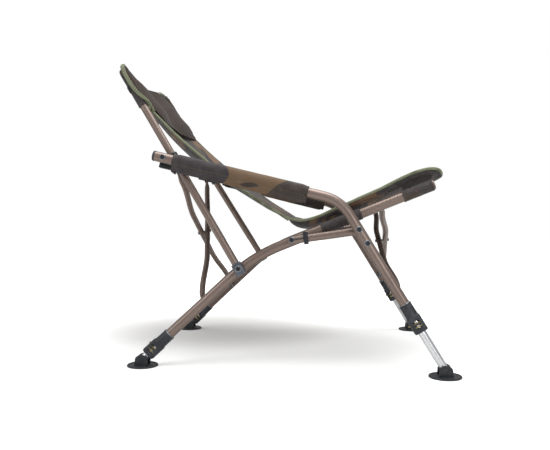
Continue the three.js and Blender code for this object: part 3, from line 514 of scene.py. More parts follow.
class Sling:
    """A cloth surface hung between two mirrored edges. A place on it is a reach along the edge, a
    distance y across the chair, and a height off the surface. hang(part, z, v) is how far it sags."""

    def __init__(self, edge, hand, hang):
        self.line, self.stops = smooth_line(edge, 240)
        run = unit(np.gradient(self.line, axis=0))
        self.normals = hand * np.stack([-run[:, 1], run[:, 0]], -1)
        self.length = self.stops[-1]
        self.hang = hang

    def half(self, reach):
        """Half of the panel's width, which leaves room for the pockets between the leaning frames."""
        z = read_at(reach, self.stops, self.line)[..., 1]
        beside = HALF_WIDTH + POCKET_ROOM * math.cos(LEAN) - z * math.sin(LEAN)
        return np.minimum(SLING_HALF, beside)

    def rounded_half(self, reach, inset, corner, both=False):
        """The half width drawn in at the far end by a round corner, and at the near end too if both."""
        past = np.clip(reach - (self.length - corner), 0, corner)
        if both:
            past = np.maximum(past, np.clip(corner - reach, 0, corner))
        return self.half(reach) - inset - corner + np.sqrt(np.maximum(corner ** 2 - past ** 2, 0))

    def at(self, reach, y, off):
        """The place at a reach, a distance y across and a height off the surface where it hangs."""
        reach, y, off = np.broadcast_arrays(*(np.asarray(value, float) for value in (reach, y, off)))
        base = read_at(reach, self.stops, self.line)
        normal = read_at(reach, self.stops, self.normals)
        v = y / self.half(reach)
        off = off + self.hang(reach / self.length, base[..., 1], v)
        return np.stack([
            base[..., 0] + normal[..., 0] * off + FORWARD, y, base[..., 1] + normal[..., 1] * off,
        ], -1)

    def facing(self, reach, y):
        """The direction square to the surface: the cross product of steps along it and across it."""
        along_it = self.at(reach + 1, y, 0) - self.at(reach - 1, y, 0)
        over = self.at(reach, y + 1, 0) - self.at(reach, y - 1, 0)
        normal = unit(np.cross(along_it, over))
        ahead = np.zeros_like(normal)
        ahead[..., [0, 2]] = read_at(reach, self.stops, self.normals)
        return normal * np.sign(np.sum(normal * ahead, -1, keepdims=True))


def rises(value, low, high):
    """0 below low and 1 above high, with a smooth step between."""
    t = np.clip((value - low) / (high - low), 0, 1)
    return t * t * (3 - 2 * t)


def fullness(v, part, squareness, end_length):
    """Padding is full in the middle and is drawn in towards the side edges and the sewn ends: the square
    root of 1 less the place across to a power, times a share that grows by the root of the part of the
    end length that lies behind."""
    sides = np.sqrt(np.maximum(0, 1 - np.abs(v) ** squareness))
    to_end = np.clip(np.minimum(part, 1 - part) / end_length, 0, 1)
    return sides * (0.2 + 0.8 * np.sqrt(to_end))


def panel_grid(half, stops, columns):
    """Reach, y and v (y as a part of the half width) for rings that go across the chair on one face and
    back on the other, and which columns are on the first face."""
    across_it = np.sin(np.linspace(math.pi / 2, -math.pi / 2, columns))
    v = np.concatenate([across_it, across_it[::-1]])
    reach = np.broadcast_to(stops[:, None], (len(stops), 2 * columns))
    return reach, half(reach) * v, np.broadcast_to(v, reach.shape), np.arange(2 * columns) < columns


def puckers(reach, y, half, depth):
    """Small gathers beside the sewn edge: waves along the edge that die away within a finger's width."""
    beside = np.exp(-np.maximum(half - np.abs(y), 0) / PUCKER_REACH)
    wave = np.sin(reach * 2 * math.pi / PUCKER_PITCH + 1.7 * np.sin(reach / 37))
    return depth * beside * wave


def tape(name, sling, stops_2d, out_2d, finish, body, half=TAPE_HALF):
    """Folded tape along a line on a sling: a rounded oblong carried along it, as wide across the edge
    as half's first number each way and as thick as its second. Both its ends run on straight, to lap
    under the next tape."""
    reach, y = stops_2d.T
    up = sling.facing(reach, y)
    run = sling.at(reach + 0.5, y, 0) - sling.at(reach - 0.5, y, 0)
    out = unit(out_2d[:, :1] * unit(run) + out_2d[:, 1:] * Y_AXIS)
    path = sling.at(reach, y, 0)
    first = path[0] + TAPE_LAP * unit(path[0] - path[2])
    last = path[-1] + TAPE_LAP * unit(path[-1] - path[-3])
    path = np.concatenate([[first], path, [last]])
    out, up = (np.concatenate([rows[:1], rows, rows[-1:]]) for rows in (out, up))
    return ribbon(name, path, out, up, finish, body, half)


def box_ring(power, half_across, half_up, sides=64):
    """A superellipse: the power shapes it from a circle at 2 towards a box with rounded corners."""
    ring = circle(sides)
    return np.array([half_across, half_up]) * np.sign(ring) * np.abs(ring) ** (2 / power)


def ribbon(name, path, out, up, finish, body, half=TAPE_HALF):
    """A rounded oblong carried along a path, its wide way along out and its thickness along up."""
    wave = 1 + 0.05 * np.sin(np.arange(len(path)) * 0.9)
    section = box_ring(TAPE_POWER, *half, 20)
    rings = (path[:, None] + out[:, None] * section[:, :1]
             + up[:, None] * section[:, 1:] * wave[:, None, None])
    return skin(name, rings, finish, body, bend_limit=70)


def edge_path(sling, inset, corner, step=6.0):
    """Places (reach, y) and outward directions along one side, round a corner, across the far end, round
    the other corner and back along the other side."""
    far = sling.length - inset - corner
    side_stops = np.linspace(0, far, round(sling.length / step))
    turn = np.linspace(0, math.pi / 2, 12)[1:]
    half = sling.half(np.array([far]))[0] - inset
    side = np.stack([side_stops, sling.half(side_stops) - inset], -1)
    arc = np.stack([far + corner * np.sin(turn), half - corner + corner * np.cos(turn)], -1)
    across_y = np.linspace(half - corner, 0, round((half - corner) / step))[1:]
    front = np.stack([np.full(len(across_y), far + corner), across_y], -1)
    one = np.concatenate([side, arc, front])
    out = np.concatenate([
        np.broadcast_to([0.0, 1.0], side.shape), np.stack([np.sin(turn), np.cos(turn)], -1),
        np.broadcast_to([1.0, 0.0], front.shape),
    ])
    mirror = np.array([1.0, -1.0])
    return np.concatenate([one, one[-2::-1] * mirror]), np.concatenate([out, out[-2::-1] * mirror])


def stitches(name, path, up, body, finish, pitch=STITCH_PITCH, length=2.6, radius=0.42):
    """Sewing thread: a short rounded stitch every pitch along the path, each lying on the cloth."""
    lengths = run_length(path)
    stops = np.arange(pitch / 2, lengths[-1], pitch)
    middle = read_at(stops, lengths, path)
    ahead = unit(read_at(stops, lengths, np.gradient(path, axis=0)))
    up = unit(read_at(stops, lengths, up))
    beside = np.cross(ahead, up)
    ring = circle(6)
    along_it = np.array([-1, -0.7, 0.7, 1]) * length / 2
    plump = np.array([0.35, 1, 1, 0.35]) * radius
    points = (middle[:, None, None] + ahead[:, None, None] * along_it[None, :, None, None]
              + plump[None, :, None, None] * (up[:, None, None] * ring[None, None, :, :1]
                                              + beside[:, None, None] * ring[None, None, :, 1:]))
    index = np.arange(24).reshape(4, 6)
    after = np.roll(index, -1, axis=1)
    one = np.stack([index[:-1], index[1:], after[1:], after[:-1]], -1).reshape(-1, 4)
    quads = (one[None] + 24 * np.arange(len(stops))[:, None, None]).reshape(-1, 4)
    ends = np.array([[0, 1, 2, 3], [0, 3, 4, 5], [21, 20, 19, 18], [23, 22, 21, 18]])
    caps = (ends[None] + 24 * np.arange(len(stops))[:, None, None]).reshape(-1, 4)
    return mesh_piece(name, points.reshape(-1, 3), quads.tolist() + caps.tolist(), finish, body)


def camo_cloth(name, shift, tan_level=0.585):
    """Printed camouflage: big blots of tan and near-black on charcoal, each edged by a fine rust line
    where the tan begins, over a fine plain weave."""
    finish = Finish(name, specular_ior_level=0.25, sheen_weight=0.12, sheen_roughness=0.5)
    at = finish.mapped(shift=shift)
    warp = finish.noise(26, 3, at=at)
    warm = finish.noise(7.5, 2.5, 0.45, 0.6, at=at)
    dark = finish.noise(8.5, 2, 0.45, 0.5, at=finish.mapped(shift=(shift[0] + 3, shift[1], shift[2])))
    olive = finish.noise(6.0, 2, 0.45, 0.7, at=finish.mapped(shift=(shift[0], shift[1] + 5, shift[2])))
    level = warm + (warp - 0.5) * 0.10
    tan = level.above(tan_level, 0.006)
    rust = level.above(tan_level - 0.013, 0.004) * (1 - tan)
    colour = finish.mix(olive.above(0.57, 0.008), paint(63, 58, 58), paint(70, 63, 54))
    colour = finish.mix(tan, colour, paint(108, 86, 66))
    colour = finish.mix(rust * 0.6, colour, paint(108, 70, 48))
    colour = finish.mix(dark.above(0.60, 0.008), colour, paint(40, 37, 38))
    tone = finish.noise(90, 3)
    colour = finish.mix((tone - 0.4) * 0.22, colour, paint(150, 142, 136))
    threads = finish.noise(WEAVE, 1.5)
    height = finish.bump(threads, 0.0004, 0.45, finish.bump(finish.noise(45, 3), 0.0015, 0.3))
    return finish.done(base_color=colour, roughness=(threads - 0.5) * 0.2 + 0.82, normal=height)


def tape_cloth():
    """Sage webbing: fine ribs with a little fading and grime."""
    finish = Finish("sage_tape", specular_ior_level=0.2, sheen_weight=0.2)
    ribs = finish.noise(1700, 1)
    tone = finish.noise(14, 4)
    colour = finish.mix((ribs - 0.5) * 0.5 + tone * 0.8, paint(94, 99, 78), paint(142, 147, 120))
    colour = finish.mix(finish.noise(36, 3).above(0.62, 0.06) * 0.6, colour, paint(78, 78, 58))
    height = finish.bump(ribs, 0.0004, 0.6)
    return finish.done(base_color=colour, roughness=ribs * 0.1 + 0.8, normal=height)


def thread_finish(name, dark, light):
    """Twisted sewing thread in two near tones."""
    finish = Finish(name, specular_ior_level=0.3)
    twist = finish.noise(2200, 1)
    return finish.done(base_color=finish.mix(twist, dark, light), roughness=twist * 0.2 + 0.6)


def cushion(piece, slot, fill, keep, anchor):
    """What every slung soft piece has in common: its own copy of its mesh. Its slot, fill, keep and anchor
    are not used.
    """
    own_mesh(piece)
    return piece


SEAT_CLOTH = camo_cloth("seat_cloth", (0.4, 0.2, 0.1), 0.61)
SAGE = tape_cloth()
THREAD = thread_finish("dull_thread", paint(70, 66, 52), paint(128, 122, 92))


def seat_hang(part, z, v):
    """The seat sags by the square of the distance from its edges, less and less towards the crease."""
    return -SEAT_SAG * (1 - v * v) * np.minimum(1, part / SEAT_SAG_START)


seat = Sling(SEAT_EDGE, 1, seat_hang)
seat_stops = np.concatenate([
    np.linspace(0, seat.length - CORNER, 74), seat.length - CORNER * (1 - np.sin(np.linspace(0.1, 1.5, 9))),
])


def seat_half(reach):
    """Half of the seat's width, with both front corners rounded."""
    return seat.rounded_half(reach, CLOTH_INSET, CORNER)


reach, y, v, is_face = panel_grid(seat_half, seat_stops, 64)
full = fullness(v, reach / seat.length, 8, 0.1)
seam = sum(SEAM_DEPTH * np.exp(-((reach - part * seat.length) / SEAM_HALF) ** 2) for part in SEAT_SEAMS)
gather = puckers(reach, y, seat_half(reach), 1.1)
off = np.where(is_face, SEAT_CROWN * full + gather - seam * full, -SEAT_DEPTH * full - 1 + 0.7 * gather)
seat_piece = skin("seat_padding", seat.at(reach, y, off), SEAT_CLOTH, "right_frame", bend_limit=80)
cushion(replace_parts(seat_piece, "seat_cushion"), "camo_cloth", 0.5, **SEAT_FOLD)
seat_tape_path, seat_tape_out = edge_path(seat, TAPE_INSET, CORNER - 4)
seat_tape = tape("seat_tape", seat, seat_tape_path, seat_tape_out, SAGE, "right_frame")
cushion(seat_tape, "camo_cloth", 0, **SEAT_FOLD)


def sewn(name, sling, path, out, body, keep, anchor):
    """A row of stitches on the upper side of a tape, a little way in from its middle."""
    row = path - STITCH_INSET * out
    up = sling.facing(*row.T)
    thread = stitches(name, sling.at(*row.T, 0) + up * STITCH_RISE, up, body, THREAD)
    return cushion(thread, "camo_cloth", 0, keep, anchor)


sewn("seat_tape_stitches", seat, seat_tape_path, seat_tape_out, "right_frame", **SEAT_FOLD)

# Back panel: the same padded cloth and tape, slung loosely between the back tubes from the crease up to
# the head cushion. It turns forward at the crease as the chair folds.
BACK_EDGE = [
    (-8, 366), (-28, 379), (-58, 397), (-94, 421), (-150, 463), (-214, 514), (-262, 554), (-298, 586),
    (-330, 617), (-363, 649),
]
BACK_SAG = 26
BACK_FALL = (366, 546)
BACK_DRAWN = 0.45
BACK_TOP = 762
BACK_HALF_PAD = 6
CREASE = (FORWARD - 5.0, 366.0)
CREASE_HALF = 234
BACK_FOLD = {"keep": 0.665, "anchor": 0.205}


def back_hang(part, z, v):
    """The back falls behind its edges more and more up to its middle, and is drawn in again above."""
    fall = rises(z, *BACK_FALL) * (1 - BACK_DRAWN * rises(z, BACK_FALL[1], BACK_TOP))
    return -BACK_SAG * fall * (1 - v * v)


back = Sling(BACK_EDGE, -1, back_hang)
BACK_CLOTH = camo_cloth("back_cloth", (1.9, 0.7, 2.3))


def back_half(reach):
    """Half of the back's width, without its tape."""
    return back.half(reach) - CLOTH_INSET


reach, y, v, is_face = panel_grid(back_half, np.linspace(0, back.length, 80), 56)
full = fullness(v, reach / back.length, 8, 0.12)
gather = puckers(reach, y, back_half(reach), 0.9)
off = (BACK_HALF_PAD * full + 0.5) * np.where(is_face, 1, -1) + gather * np.where(is_face, 1, 0.6)
back_piece = skin("back_padding", back.at(reach, y, off), BACK_CLOTH, "back_sling", bend_limit=80)
cushion(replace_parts(back_piece, "back_panel"), "camo_cloth", 0.35, **BACK_FOLD)
crease_path = np.linspace([CREASE[0], -CREASE_HALF, CREASE[1]], [CREASE[0], CREASE_HALF, CREASE[1]], 60)
crease_out, crease_up = (np.broadcast_to(direction, (60, 3)) for direction in (X_AXIS, Z_AXIS))
crease = ribbon("crease_seam", crease_path, crease_out, crease_up, SEAT_CLOTH, "right_frame", (6.4, 1.5))
cushion(crease, "camo_cloth", 0, **SEAT_FOLD)
back_stops = np.linspace(0, back.length, 84)
for word, side in SIDES.items():
    path = np.stack([back_stops, side * (back.half(back_stops) - TAPE_INSET)], -1)
    out = np.broadcast_to([0.0, float(side)], path.shape)
    edging = tape(f"{word}_back_tape", back, path, out, SAGE, "back_sling")
    cushion(edging, "camo_cloth", 0, **BACK_FOLD)
    sewn(f"{word}_back_tape_stitches", back, path, out, "back_sling", **BACK_FOLD)

# Head cushion: two soft lobes of brushed brown cloth with a dip for the neck between them, sewn to a
# camouflage backing that is taped round its ears. It rides on the right back tube and is squashed
# towards it by the fold.
HEAD_EDGE = [(-325, 611), (-363, 649), (-394, 683), (-414, 713), (-427, 742), (-431, 762)]
HEAD_DEPTH = 38
HEAD_DIP = 20
HEAD_DIP_WIDTH = 0.30
HEAD_INSET = 8
HEAD_CORNER = 34
EAR_CORNER = 10
TOP_DIP = 46
TOP_DIP_REACH = (0.2, 1.1)
TOP_DIP_WIDTH = (0.3, 0.88)
HEAD_FOLD = {"keep": 0.70, "anchor": 0.215}
BACKING_START = 50
WRAP_RADIUS = 14.2
WRAP_THICK = 1.8
WRAP_START = -98
HEAD_BASE = -1.5
HEAD_LIFT = 8.8
HEAD_LIFT_Z = (640, 668)
HEAD_THIN = 0.35
EAR_START = 36.0
EAR_TOP = (0.82, 0.6, 0.35, 0.12, 0.0)
# The tape's course over an ear. Each row: a place beside the back tube's end as by_tube takes it, then
# the direction of the tape's edge and of its cloth, both as shares of outwards, ahead and upwards.
EAR_ROWS = [
    ((-117, -9, 15.5), (1, 0, 0), (0, 1, 0)),
    ((-104, 5, 16.0), (1, -0.4, 0), (0.4, 1, 0)),
    ((-90, 13.5, 10.5), (0.4, -1, 0), (1, 0.4, 0)),
    ((-68, 16.5, 4.0), (0, -1, 0), (1, 0, 0)),
    ((-40, 16.8, 1.5), (0, -1, 0), (1, 0, 0)),
    ((-12, 16.4, 2.5), (0, -1, 0), (1, 0, 0)),
    ((5, 12.5, 5.0), (0, -1, 0), (1, 0, 1)),
    ((11.5, 3, 7.0), (0, -1, 0.6), (0, 0.6, 1)),
    ((13, -12, 7.5), (0, 0, 1), (0, 1, 0)),
]


def brushed_cloth():
    """Peach-skin cloth: almost flat brown with a short soft pile that catches light at its rim."""
    finish = Finish("brushed_cloth", specular_ior_level=0.15, sheen_weight=0.12, sheen_roughness=0.35)
    pile = finish.noise(900, 2)
    brushed = finish.noise(38, 4, 0.6, 0.8)
    colour = finish.mix(pile * 0.45 + brushed * 0.55, paint(46, 40, 37), paint(74, 65, 60))
    height = finish.bump(pile, 0.0003, 0.35, finish.bump(finish.noise(22, 4), 0.004, 0.35))
    return finish.done(base_color=colour, roughness=pile * 0.1 + 0.86, normal=height)


BRUSHED = brushed_cloth()
head = Sling(HEAD_EDGE, -1, back_hang)


def head_half(reach):
    """Half of the lobes' width, with all four corners rounded."""
    return head.rounded_half(reach, HEAD_INSET, HEAD_CORNER, both=True)


def dipped(reach, y):
    """The reach, drawn down towards the middle of the chair, so that the top edge dips between the ears."""
    v = np.abs(y) / head.half(reach)
    share = rises(reach / head.length, *TOP_DIP_REACH) / rises(1.0, *TOP_DIP_REACH)
    return reach - TOP_DIP * share * (1 - rises(v, *TOP_DIP_WIDTH))


ends = np.sin(np.linspace(0.12, math.pi / 2, 9))
head_stops = np.concatenate([
    HEAD_CORNER * (1 - ends[::-1]) + 1, np.linspace(HEAD_CORNER, head.length - HEAD_CORNER - 8, 26)[1:-1],
    head.length - 6 - HEAD_CORNER * (1 - ends),
])
reach, y, v, is_face = panel_grid(head_half, head_stops, 64)
part = reach / head.length
full = fullness(v, np.clip(part, 0.03, 0.97), 4, 0.22) * (1 - HEAD_THIN * rises(part, 0.62, 0.95))
dip = HEAD_DIP * np.exp(-(y / (HEAD_DIP_WIDTH * SLING_HALF)) ** 2)
level_z = head.at(reach, y, 0)[..., 2]
base = HEAD_BASE + HEAD_LIFT * (1 - rises(level_z, *HEAD_LIFT_Z))
gather = puckers(reach, y, head_half(reach), 0.9)
face = np.maximum(base + 2, (HEAD_DEPTH - dip - 2) * full + gather)
off = np.where(is_face, face, base)
head_piece = skin("head_lobes", head.at(dipped(reach, y), y, off), BRUSHED, "right_back", bend_limit=80)
cushion(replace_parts(head_piece, "head_cushion"), "soft_cloth", 0.7, **HEAD_FOLD)

backing_stops = np.concatenate([
    np.linspace(BACKING_START, head.length - EAR_CORNER, 30),
    head.length - EAR_CORNER * (1 - np.sin(np.linspace(0.12, 1.5, 9))),
])


def backing_half(reach):
    """Half of the backing's width, with its ears a little rounded."""
    return head.rounded_half(reach, CLOTH_INSET, EAR_CORNER)


reach, y, v, is_face = panel_grid(backing_half, backing_stops, 48)
full = fullness(v, np.clip(reach / head.length, 0.05, 1), 8, 0.1)
gather = puckers(reach, y, backing_half(reach), 0.7)
off = np.where(is_face, -1.4 + 0.9 * full, -2.4 - 3.4 * full + gather)
backing = skin("head_backing", head.at(dipped(reach, y), y, off), BACK_CLOTH, "right_back", bend_limit=80)
cushion(backing, "camo_cloth", 0.3, **HEAD_FOLD)

back_axis = heading(BACK_SLOPE)
back_ahead = heading(BACK_SLOPE - math.pi / 2)
back_top = BACK_PIVOT + BACK_LENGTH * back_axis


def by_tube(side, along_it, out, ahead):
    """A place beside the back tube's end: along it from its end, outwards and ahead of its middle."""
    foot = back_top + np.multiply.outer(along_it, back_axis) + np.multiply.outer(ahead, back_ahead)
    return place(side, foot[..., 0], foot[..., 1], BACK_OUT + out)


def ear_course(side):
    """Where the tape runs on one ear: up the panel's edge, over the front of the pocket to its outer
    side, up that side, and inwards over its top. Each row is a place, its edge's direction and its
    cloth's."""
    end = by_tube(side, 0.0, 0.0, 0.0)
    ahead = by_tube(side, 0.0, 0.0, 1.0) - end
    upward = by_tube(side, 1.0, 0.0, 0.0) - end
    axes = np.array([across(side), ahead, upward])
    start = np.array([EAR_START])
    low = head.at(start, side * (head.half(start) - TAPE_INSET), 2.0)[0]
    rows = [(low, across(side), ahead)]
    for spot, edge, cloth in EAR_ROWS:
        rows.append((by_tube(side, *spot), unit(np.dot(edge, axes)), unit(np.dot(cloth, axes))))
    edge_y = np.array(EAR_TOP) * head.half(np.array([head.length]))[0]
    top_row = head.at(dipped(np.full(len(EAR_TOP), head.length - 2.0), edge_y), side * edge_y, 0)
    rows += [(spot, upward, ahead) for spot in top_row]
    return np.array([np.concatenate(row) for row in rows])


right_course, left_course = ear_course(-1), ear_course(1)
whole_course = np.concatenate([right_course, left_course[-2::-1]])
course, _ = smooth_line(whole_course, 240, 3)
ear_path, ear_out, ear_up = course[:, :3], unit(course[:, 3:6]), unit(course[:, 6:9])
ear_tape = ribbon("head_tape", ear_path, ear_out, ear_up, SAGE, "right_back")
cushion(ear_tape, "camo_cloth", 0, **HEAD_FOLD)
ear_row = ear_path - 3.4 * ear_out + STITCH_RISE * ear_up
ear_thread = stitches("head_tape_stitches", ear_row, ear_up, "right_back", THREAD)
cushion(ear_thread, "camo_cloth", 0, **HEAD_FOLD)
for word, side in SIDES.items():
    along_it = np.concatenate([np.linspace(WRAP_START, -4, 30), [0, 3, 6, 8.5, 10]])[:, None]
    shrink = np.concatenate([np.ones(30), [0.98, 0.93, 0.82, 0.66, 0.45]])[:, None]
    opening = rises(along_it, WRAP_START, WRAP_START + 28)
    turn = np.radians(np.linspace(-150, 4, 26) - 55 * (1 - opening))
    outer = ((WRAP_RADIUS + 0.35 * np.sin(along_it / 6)) * shrink)[..., None]
    spokes = np.stack([np.cos(turn), -np.sin(turn)], -1)
    faces = np.concatenate([spokes * outer, (spokes * (outer - WRAP_THICK))[:, ::-1]], 1)
    rings = by_tube(side, along_it, faces[..., 0], faces[..., 1])
    wrap = skin(f"{word}_ear_wrap", rings, BRUSHED, "right_back", bend_limit=60)
    cushion(wrap, "soft_cloth", 0.2, **HEAD_FOLD)

# Arm pads: a strip of camouflage cloth over foam is wrapped round each arm tube and sewn along its
# lower third, so that the seam hangs below. Both ends have a stitched hem.
PAD_LENGTH = 342
PAD_START = {"right": 47, "left": 86}
PAD_OUTLINE = np.array([
    (0, 17.3), (7.6, 16.0), (14.2, 11.4), (17.6, 4.6), (17.9, -2.4), (15.2, -10.4), (10.6, -17.4),
    (6.4, -23.4), (4.2, -27.4), (1.2, -28.7), (-1.6, -27.6), (-2.6, -23.4), (-4.8, -17.4), (-9.2, -11.0),
    (-12.4, -5.2), (-13.6, 1.2), (-12.4, 7.6), (-8.4, 13.6), (-4.2, 16.4),
])
PAD_BORE = 12.8
PAD_SEAM = -10.5
PAD_HEM = 6.0
PAD_TALL = 46
PAD_COLUMNS = 72
# Each crease: its place along the pad, its drift along it on the way down, its depth and its width.
PAD_CREASES = [
    (118, 46, 0.075, 6.0), (143, -38, 0.05, 5.0), (232, 40, 0.03, 6.0), (74, -34, 0.03, 6.0),
    (292, -30, 0.03, 5.0),
]


def closed_outline(points, count):
    """A smooth closed outline through the points, evenly spaced from its lowest point round."""
    points = np.roll(points, -int(np.argmin(points[:, 1])), axis=0)
    wrapped = np.concatenate([points[-3:], points, points[:4]])
    line, _ = smooth_line(wrapped, 2400)
    begin = np.argmin(np.linalg.norm(line[:600] - points[0], axis=1))
    finish_at = len(line) - 600 + np.argmin(np.linalg.norm(line[-600:] - points[0], axis=1))
    loop = line[begin:finish_at + 1]
    lengths = run_length(loop)
    stops = np.linspace(0, lengths[-1], count, endpoint=False)
    return read_at(stops, lengths, loop)


def pad_cloth():
    """The same print on the arm pads, read along the pad: a tan band between two charcoal ends, its
    edges bowed, with one dark leaf-shaped blot low on it."""
    finish = Finish("pad_cloth", specular_ior_level=0.25, sheen_weight=0.12, sheen_roughness=0.5)
    lie = finish.node("ShaderNodeAttribute", {"attribute_name": "lie"}, None, "Vector")
    along_it = finish.coordinate("X", lie)
    down = finish.coordinate("Y", lie)
    wobble = (finish.noise(30, 3) - 0.5) * 0.05
    bow = (down - 0.5).power(2) * -0.20
    rear = (along_it - 0.43 - bow + wobble).above(0, 0.003)
    front = (along_it + down * 0.13 - 0.845 + wobble).above(0, 0.003)
    band = rear * (1 - front)
    leaf_x = (along_it - 0.585 + (down - 0.74) * 0.1) * 15.5
    leaf_y = (down - 0.74 + (along_it - 0.585) * 0.9) * 8.5
    leaf = 1 - (leaf_x.power(2) + leaf_y.size() + wobble * 4).above(1.0, 0.06)
    colour = finish.mix(rear, paint(57, 52, 55), paint(62, 54, 51))
    colour = finish.mix(band, colour, paint(104, 83, 63))
    colour = finish.mix(leaf * band, colour, paint(56, 49, 44))
    tone = finish.noise(60, 3)
    colour = finish.mix((tone - 0.4) * 0.2, colour, paint(160, 150, 142))
    threads = finish.noise(WEAVE, 1.5)
    creases = finish.bump(finish.noise(18, 3, 0.5, 1.2), 0.004, 0.30)
    height = finish.bump(threads, 0.0004, 0.45, creases)
    return finish.done(base_color=colour, roughness=(threads - 0.5) * 0.2 + 0.78, normal=height)


PAD_CLOTH = pad_cloth()
outline = closed_outline(PAD_OUTLINE, PAD_COLUMNS)
outline_angle = np.arctan2(outline[:, 1], outline[:, 0])
arm_axis = heading(ARM_SLOPE)
arm_up = heading(ARM_SLOPE + math.pi / 2)
arm_rear_end = ARM_CORNER - ARM_LENGTH * arm_axis


def pad_point(side, start, distance, sway, rise):
    """A place beside the arm tube: a distance along it, a sway outwards and a rise above its middle."""
    foot = arm_rear_end + np.multiply.outer(start + distance, arm_axis) + np.multiply.outer(rise, arm_up)
    return place(side, foot[..., 0], foot[..., 1], ARM_OUT + sway)


for word, side in SIDES.items():
    distance = np.concatenate([
        [0.0, 0.4, 1.6, 3.4, 6.0, 7.6, 10.0], np.linspace(15, PAD_LENGTH - 15, 58),
        PAD_LENGTH - np.array([10.0, 7.6, 6.0, 3.4, 1.6, 0.4, 0.0]),
    ])
    from_end = np.minimum(distance, PAD_LENGTH - distance)
    swell = 0.90 + 0.10 * rises(from_end, 5.0, 16.0) - 0.035 * np.exp(-((from_end - PAD_HEM) / 1.1) ** 2)
    swell = swell - 0.05 * np.exp(-from_end / 0.5)
    wrinkle = 0.45 * np.sin(distance / 9.5 + 2 * np.sin(distance / 31))
    swell = swell + 0.010 * wrinkle * rises(from_end, 8, 25)
    level_down = (PAD_OUTLINE[0, 1] - outline[:, 1]) / PAD_TALL
    crease = np.zeros((len(distance), PAD_COLUMNS))
    for spot, drift, depth, width in PAD_CREASES:
        centre_line = spot + drift * (level_down - 0.4)
        fade = np.exp(-((level_down - 0.35) / 0.28) ** 2)
        crease = crease + depth * fade * np.exp(-((distance[:, None] - centre_line) / width) ** 2)
    groove = 1 - 0.05 * np.exp(-((outline[:, 1] - PAD_SEAM) / 1.2) ** 2)
    shape = outline * (swell[:, None] * groove - crease)[..., None]
    sag = 0.6 * np.sin(distance / 60)[:, None] * (outline[:, 1] < -14)
    rings = pad_point(side, PAD_START[word], distance[:, None], shape[..., 0], shape[..., 1] + sag)
    inner_distance = np.linspace(PAD_LENGTH - 0.6, 0.6, 14)
    inner = pad_point(side, PAD_START[word], inner_distance[:, None], PAD_BORE * np.cos(outline_angle),
                      PAD_BORE * np.sin(outline_angle))
    wrap = skin(f"{word}_arm_wrap", np.concatenate([rings, inner]), PAD_CLOTH, f"{word}_arm",
                ring_closed=True, bend_limit=60)
    lie = np.zeros((len(distance) + 14, PAD_COLUMNS, 3))
    lie[..., 0] = np.concatenate([distance, inner_distance])[:, None] / PAD_LENGTH
    lie[..., 1] = level_down
    layer = wrap.data.attributes.new("lie", "FLOAT_VECTOR", "POINT")
    layer.data.foreach_set("vector", lie.ravel())
    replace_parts(wrap, f"{word}_arm_pad")
    outer_half = outline[outline[:, 0] > 0]
    seam_spot = 0.962 * outer_half[np.argmin(np.abs(outer_half[:, 1] - PAD_SEAM))]
    run = np.linspace(PAD_HEM, PAD_LENGTH - PAD_HEM, 80)
    seam_line = pad_point(side, PAD_START[word], run, *seam_spot)
    up = np.broadcast_to(across(side), seam_line.shape)
    seam_thread = stitches(f"{word}_arm_seam", seam_line, up, f"{word}_arm", THREAD, 5.6, 3.0, 0.8)
    hem_half = 0.905 * outline[outline[:, 0] > 1.0]
    hem_half = hem_half[np.argsort(hem_half[:, 1])]
    for end_name, spot in (("rear", PAD_HEM), ("front", PAD_LENGTH - PAD_HEM)):
        hem = pad_point(side, PAD_START[word], spot, *hem_half.T)
        outward = hem - pad_point(side, PAD_START[word], spot, 0.0, 0.0)
        hem_thread = stitches(f"{word}_arm_{end_name}_hem", hem, outward, f"{word}_arm", THREAD,
                              STITCH_PITCH, 2.6, 0.45)

# Pockets: a cloth tube at each top corner of the sling, pulled over the end of the back tube, with a
# turned hem, a closed rounded top and a strap of black webbing round it.
POCKET_RADIUS = 12.0
POCKET_INNER = 9.9
POCKET_DEPTH = 108
POCKET_OVER = 4
# Both profiles: distances along the back tube from its end, and radii. The pocket's goes up its outside
# and down its inside.
POCKET = [
    (-POCKET_DEPTH + 0.6, POCKET_INNER), (-POCKET_DEPTH, POCKET_INNER + 0.6),
    (-POCKET_DEPTH, POCKET_RADIUS - 0.3), (-POCKET_DEPTH + 0.8, POCKET_RADIUS),
    (-POCKET_DEPTH + 7, POCKET_RADIUS), (-POCKET_DEPTH + 8, POCKET_RADIUS - 0.7),
    (-POCKET_DEPTH + 9, POCKET_RADIUS - 0.2), (-70, POCKET_RADIUS - 0.3), (-50, POCKET_RADIUS - 0.1),
    (-30, POCKET_RADIUS - 0.4), (-10, POCKET_RADIUS - 0.2), (-3, POCKET_RADIUS - 0.8),
    (1, POCKET_RADIUS - 2.2), (3, POCKET_RADIUS - 4.6), (POCKET_OVER - 0.1, POCKET_RADIUS - 8),
    (POCKET_OVER, 1.0), (0.6, 1.0), (0.5, POCKET_INNER - 0.6), (-1, POCKET_INNER),
    (-POCKET_DEPTH / 2, POCKET_INNER),
]
STRAP = [(-62, 11.6), (-62, 13.0), (-61, 13.4), (-47, 13.4), (-46, 13.0), (-46, 11.6)]


def turned_rings(side, start, axis, out, profile, ring=circle(40)):
    """A turned shape on an axis in a side frame's plane, from a start that lies on that axis."""
    centre = place(side, *start, out)
    tip = unit(place(side, *(start + axis), out) - centre)
    return turned(centre, tip, across(side), profile, ring)


def webbing():
    """Black polyester webbing with coarse ribs."""
    finish = Finish("black_webbing", specular_ior_level=0.3)
    ribs = finish.noise(1100, 1)
    colour = finish.mix(ribs, paint(24, 24, 26), paint(48, 48, 50))
    return finish.done(base_color=colour, roughness=ribs * 0.2 + 0.6, normal=finish.bump(ribs, 0.0005, 0.6))


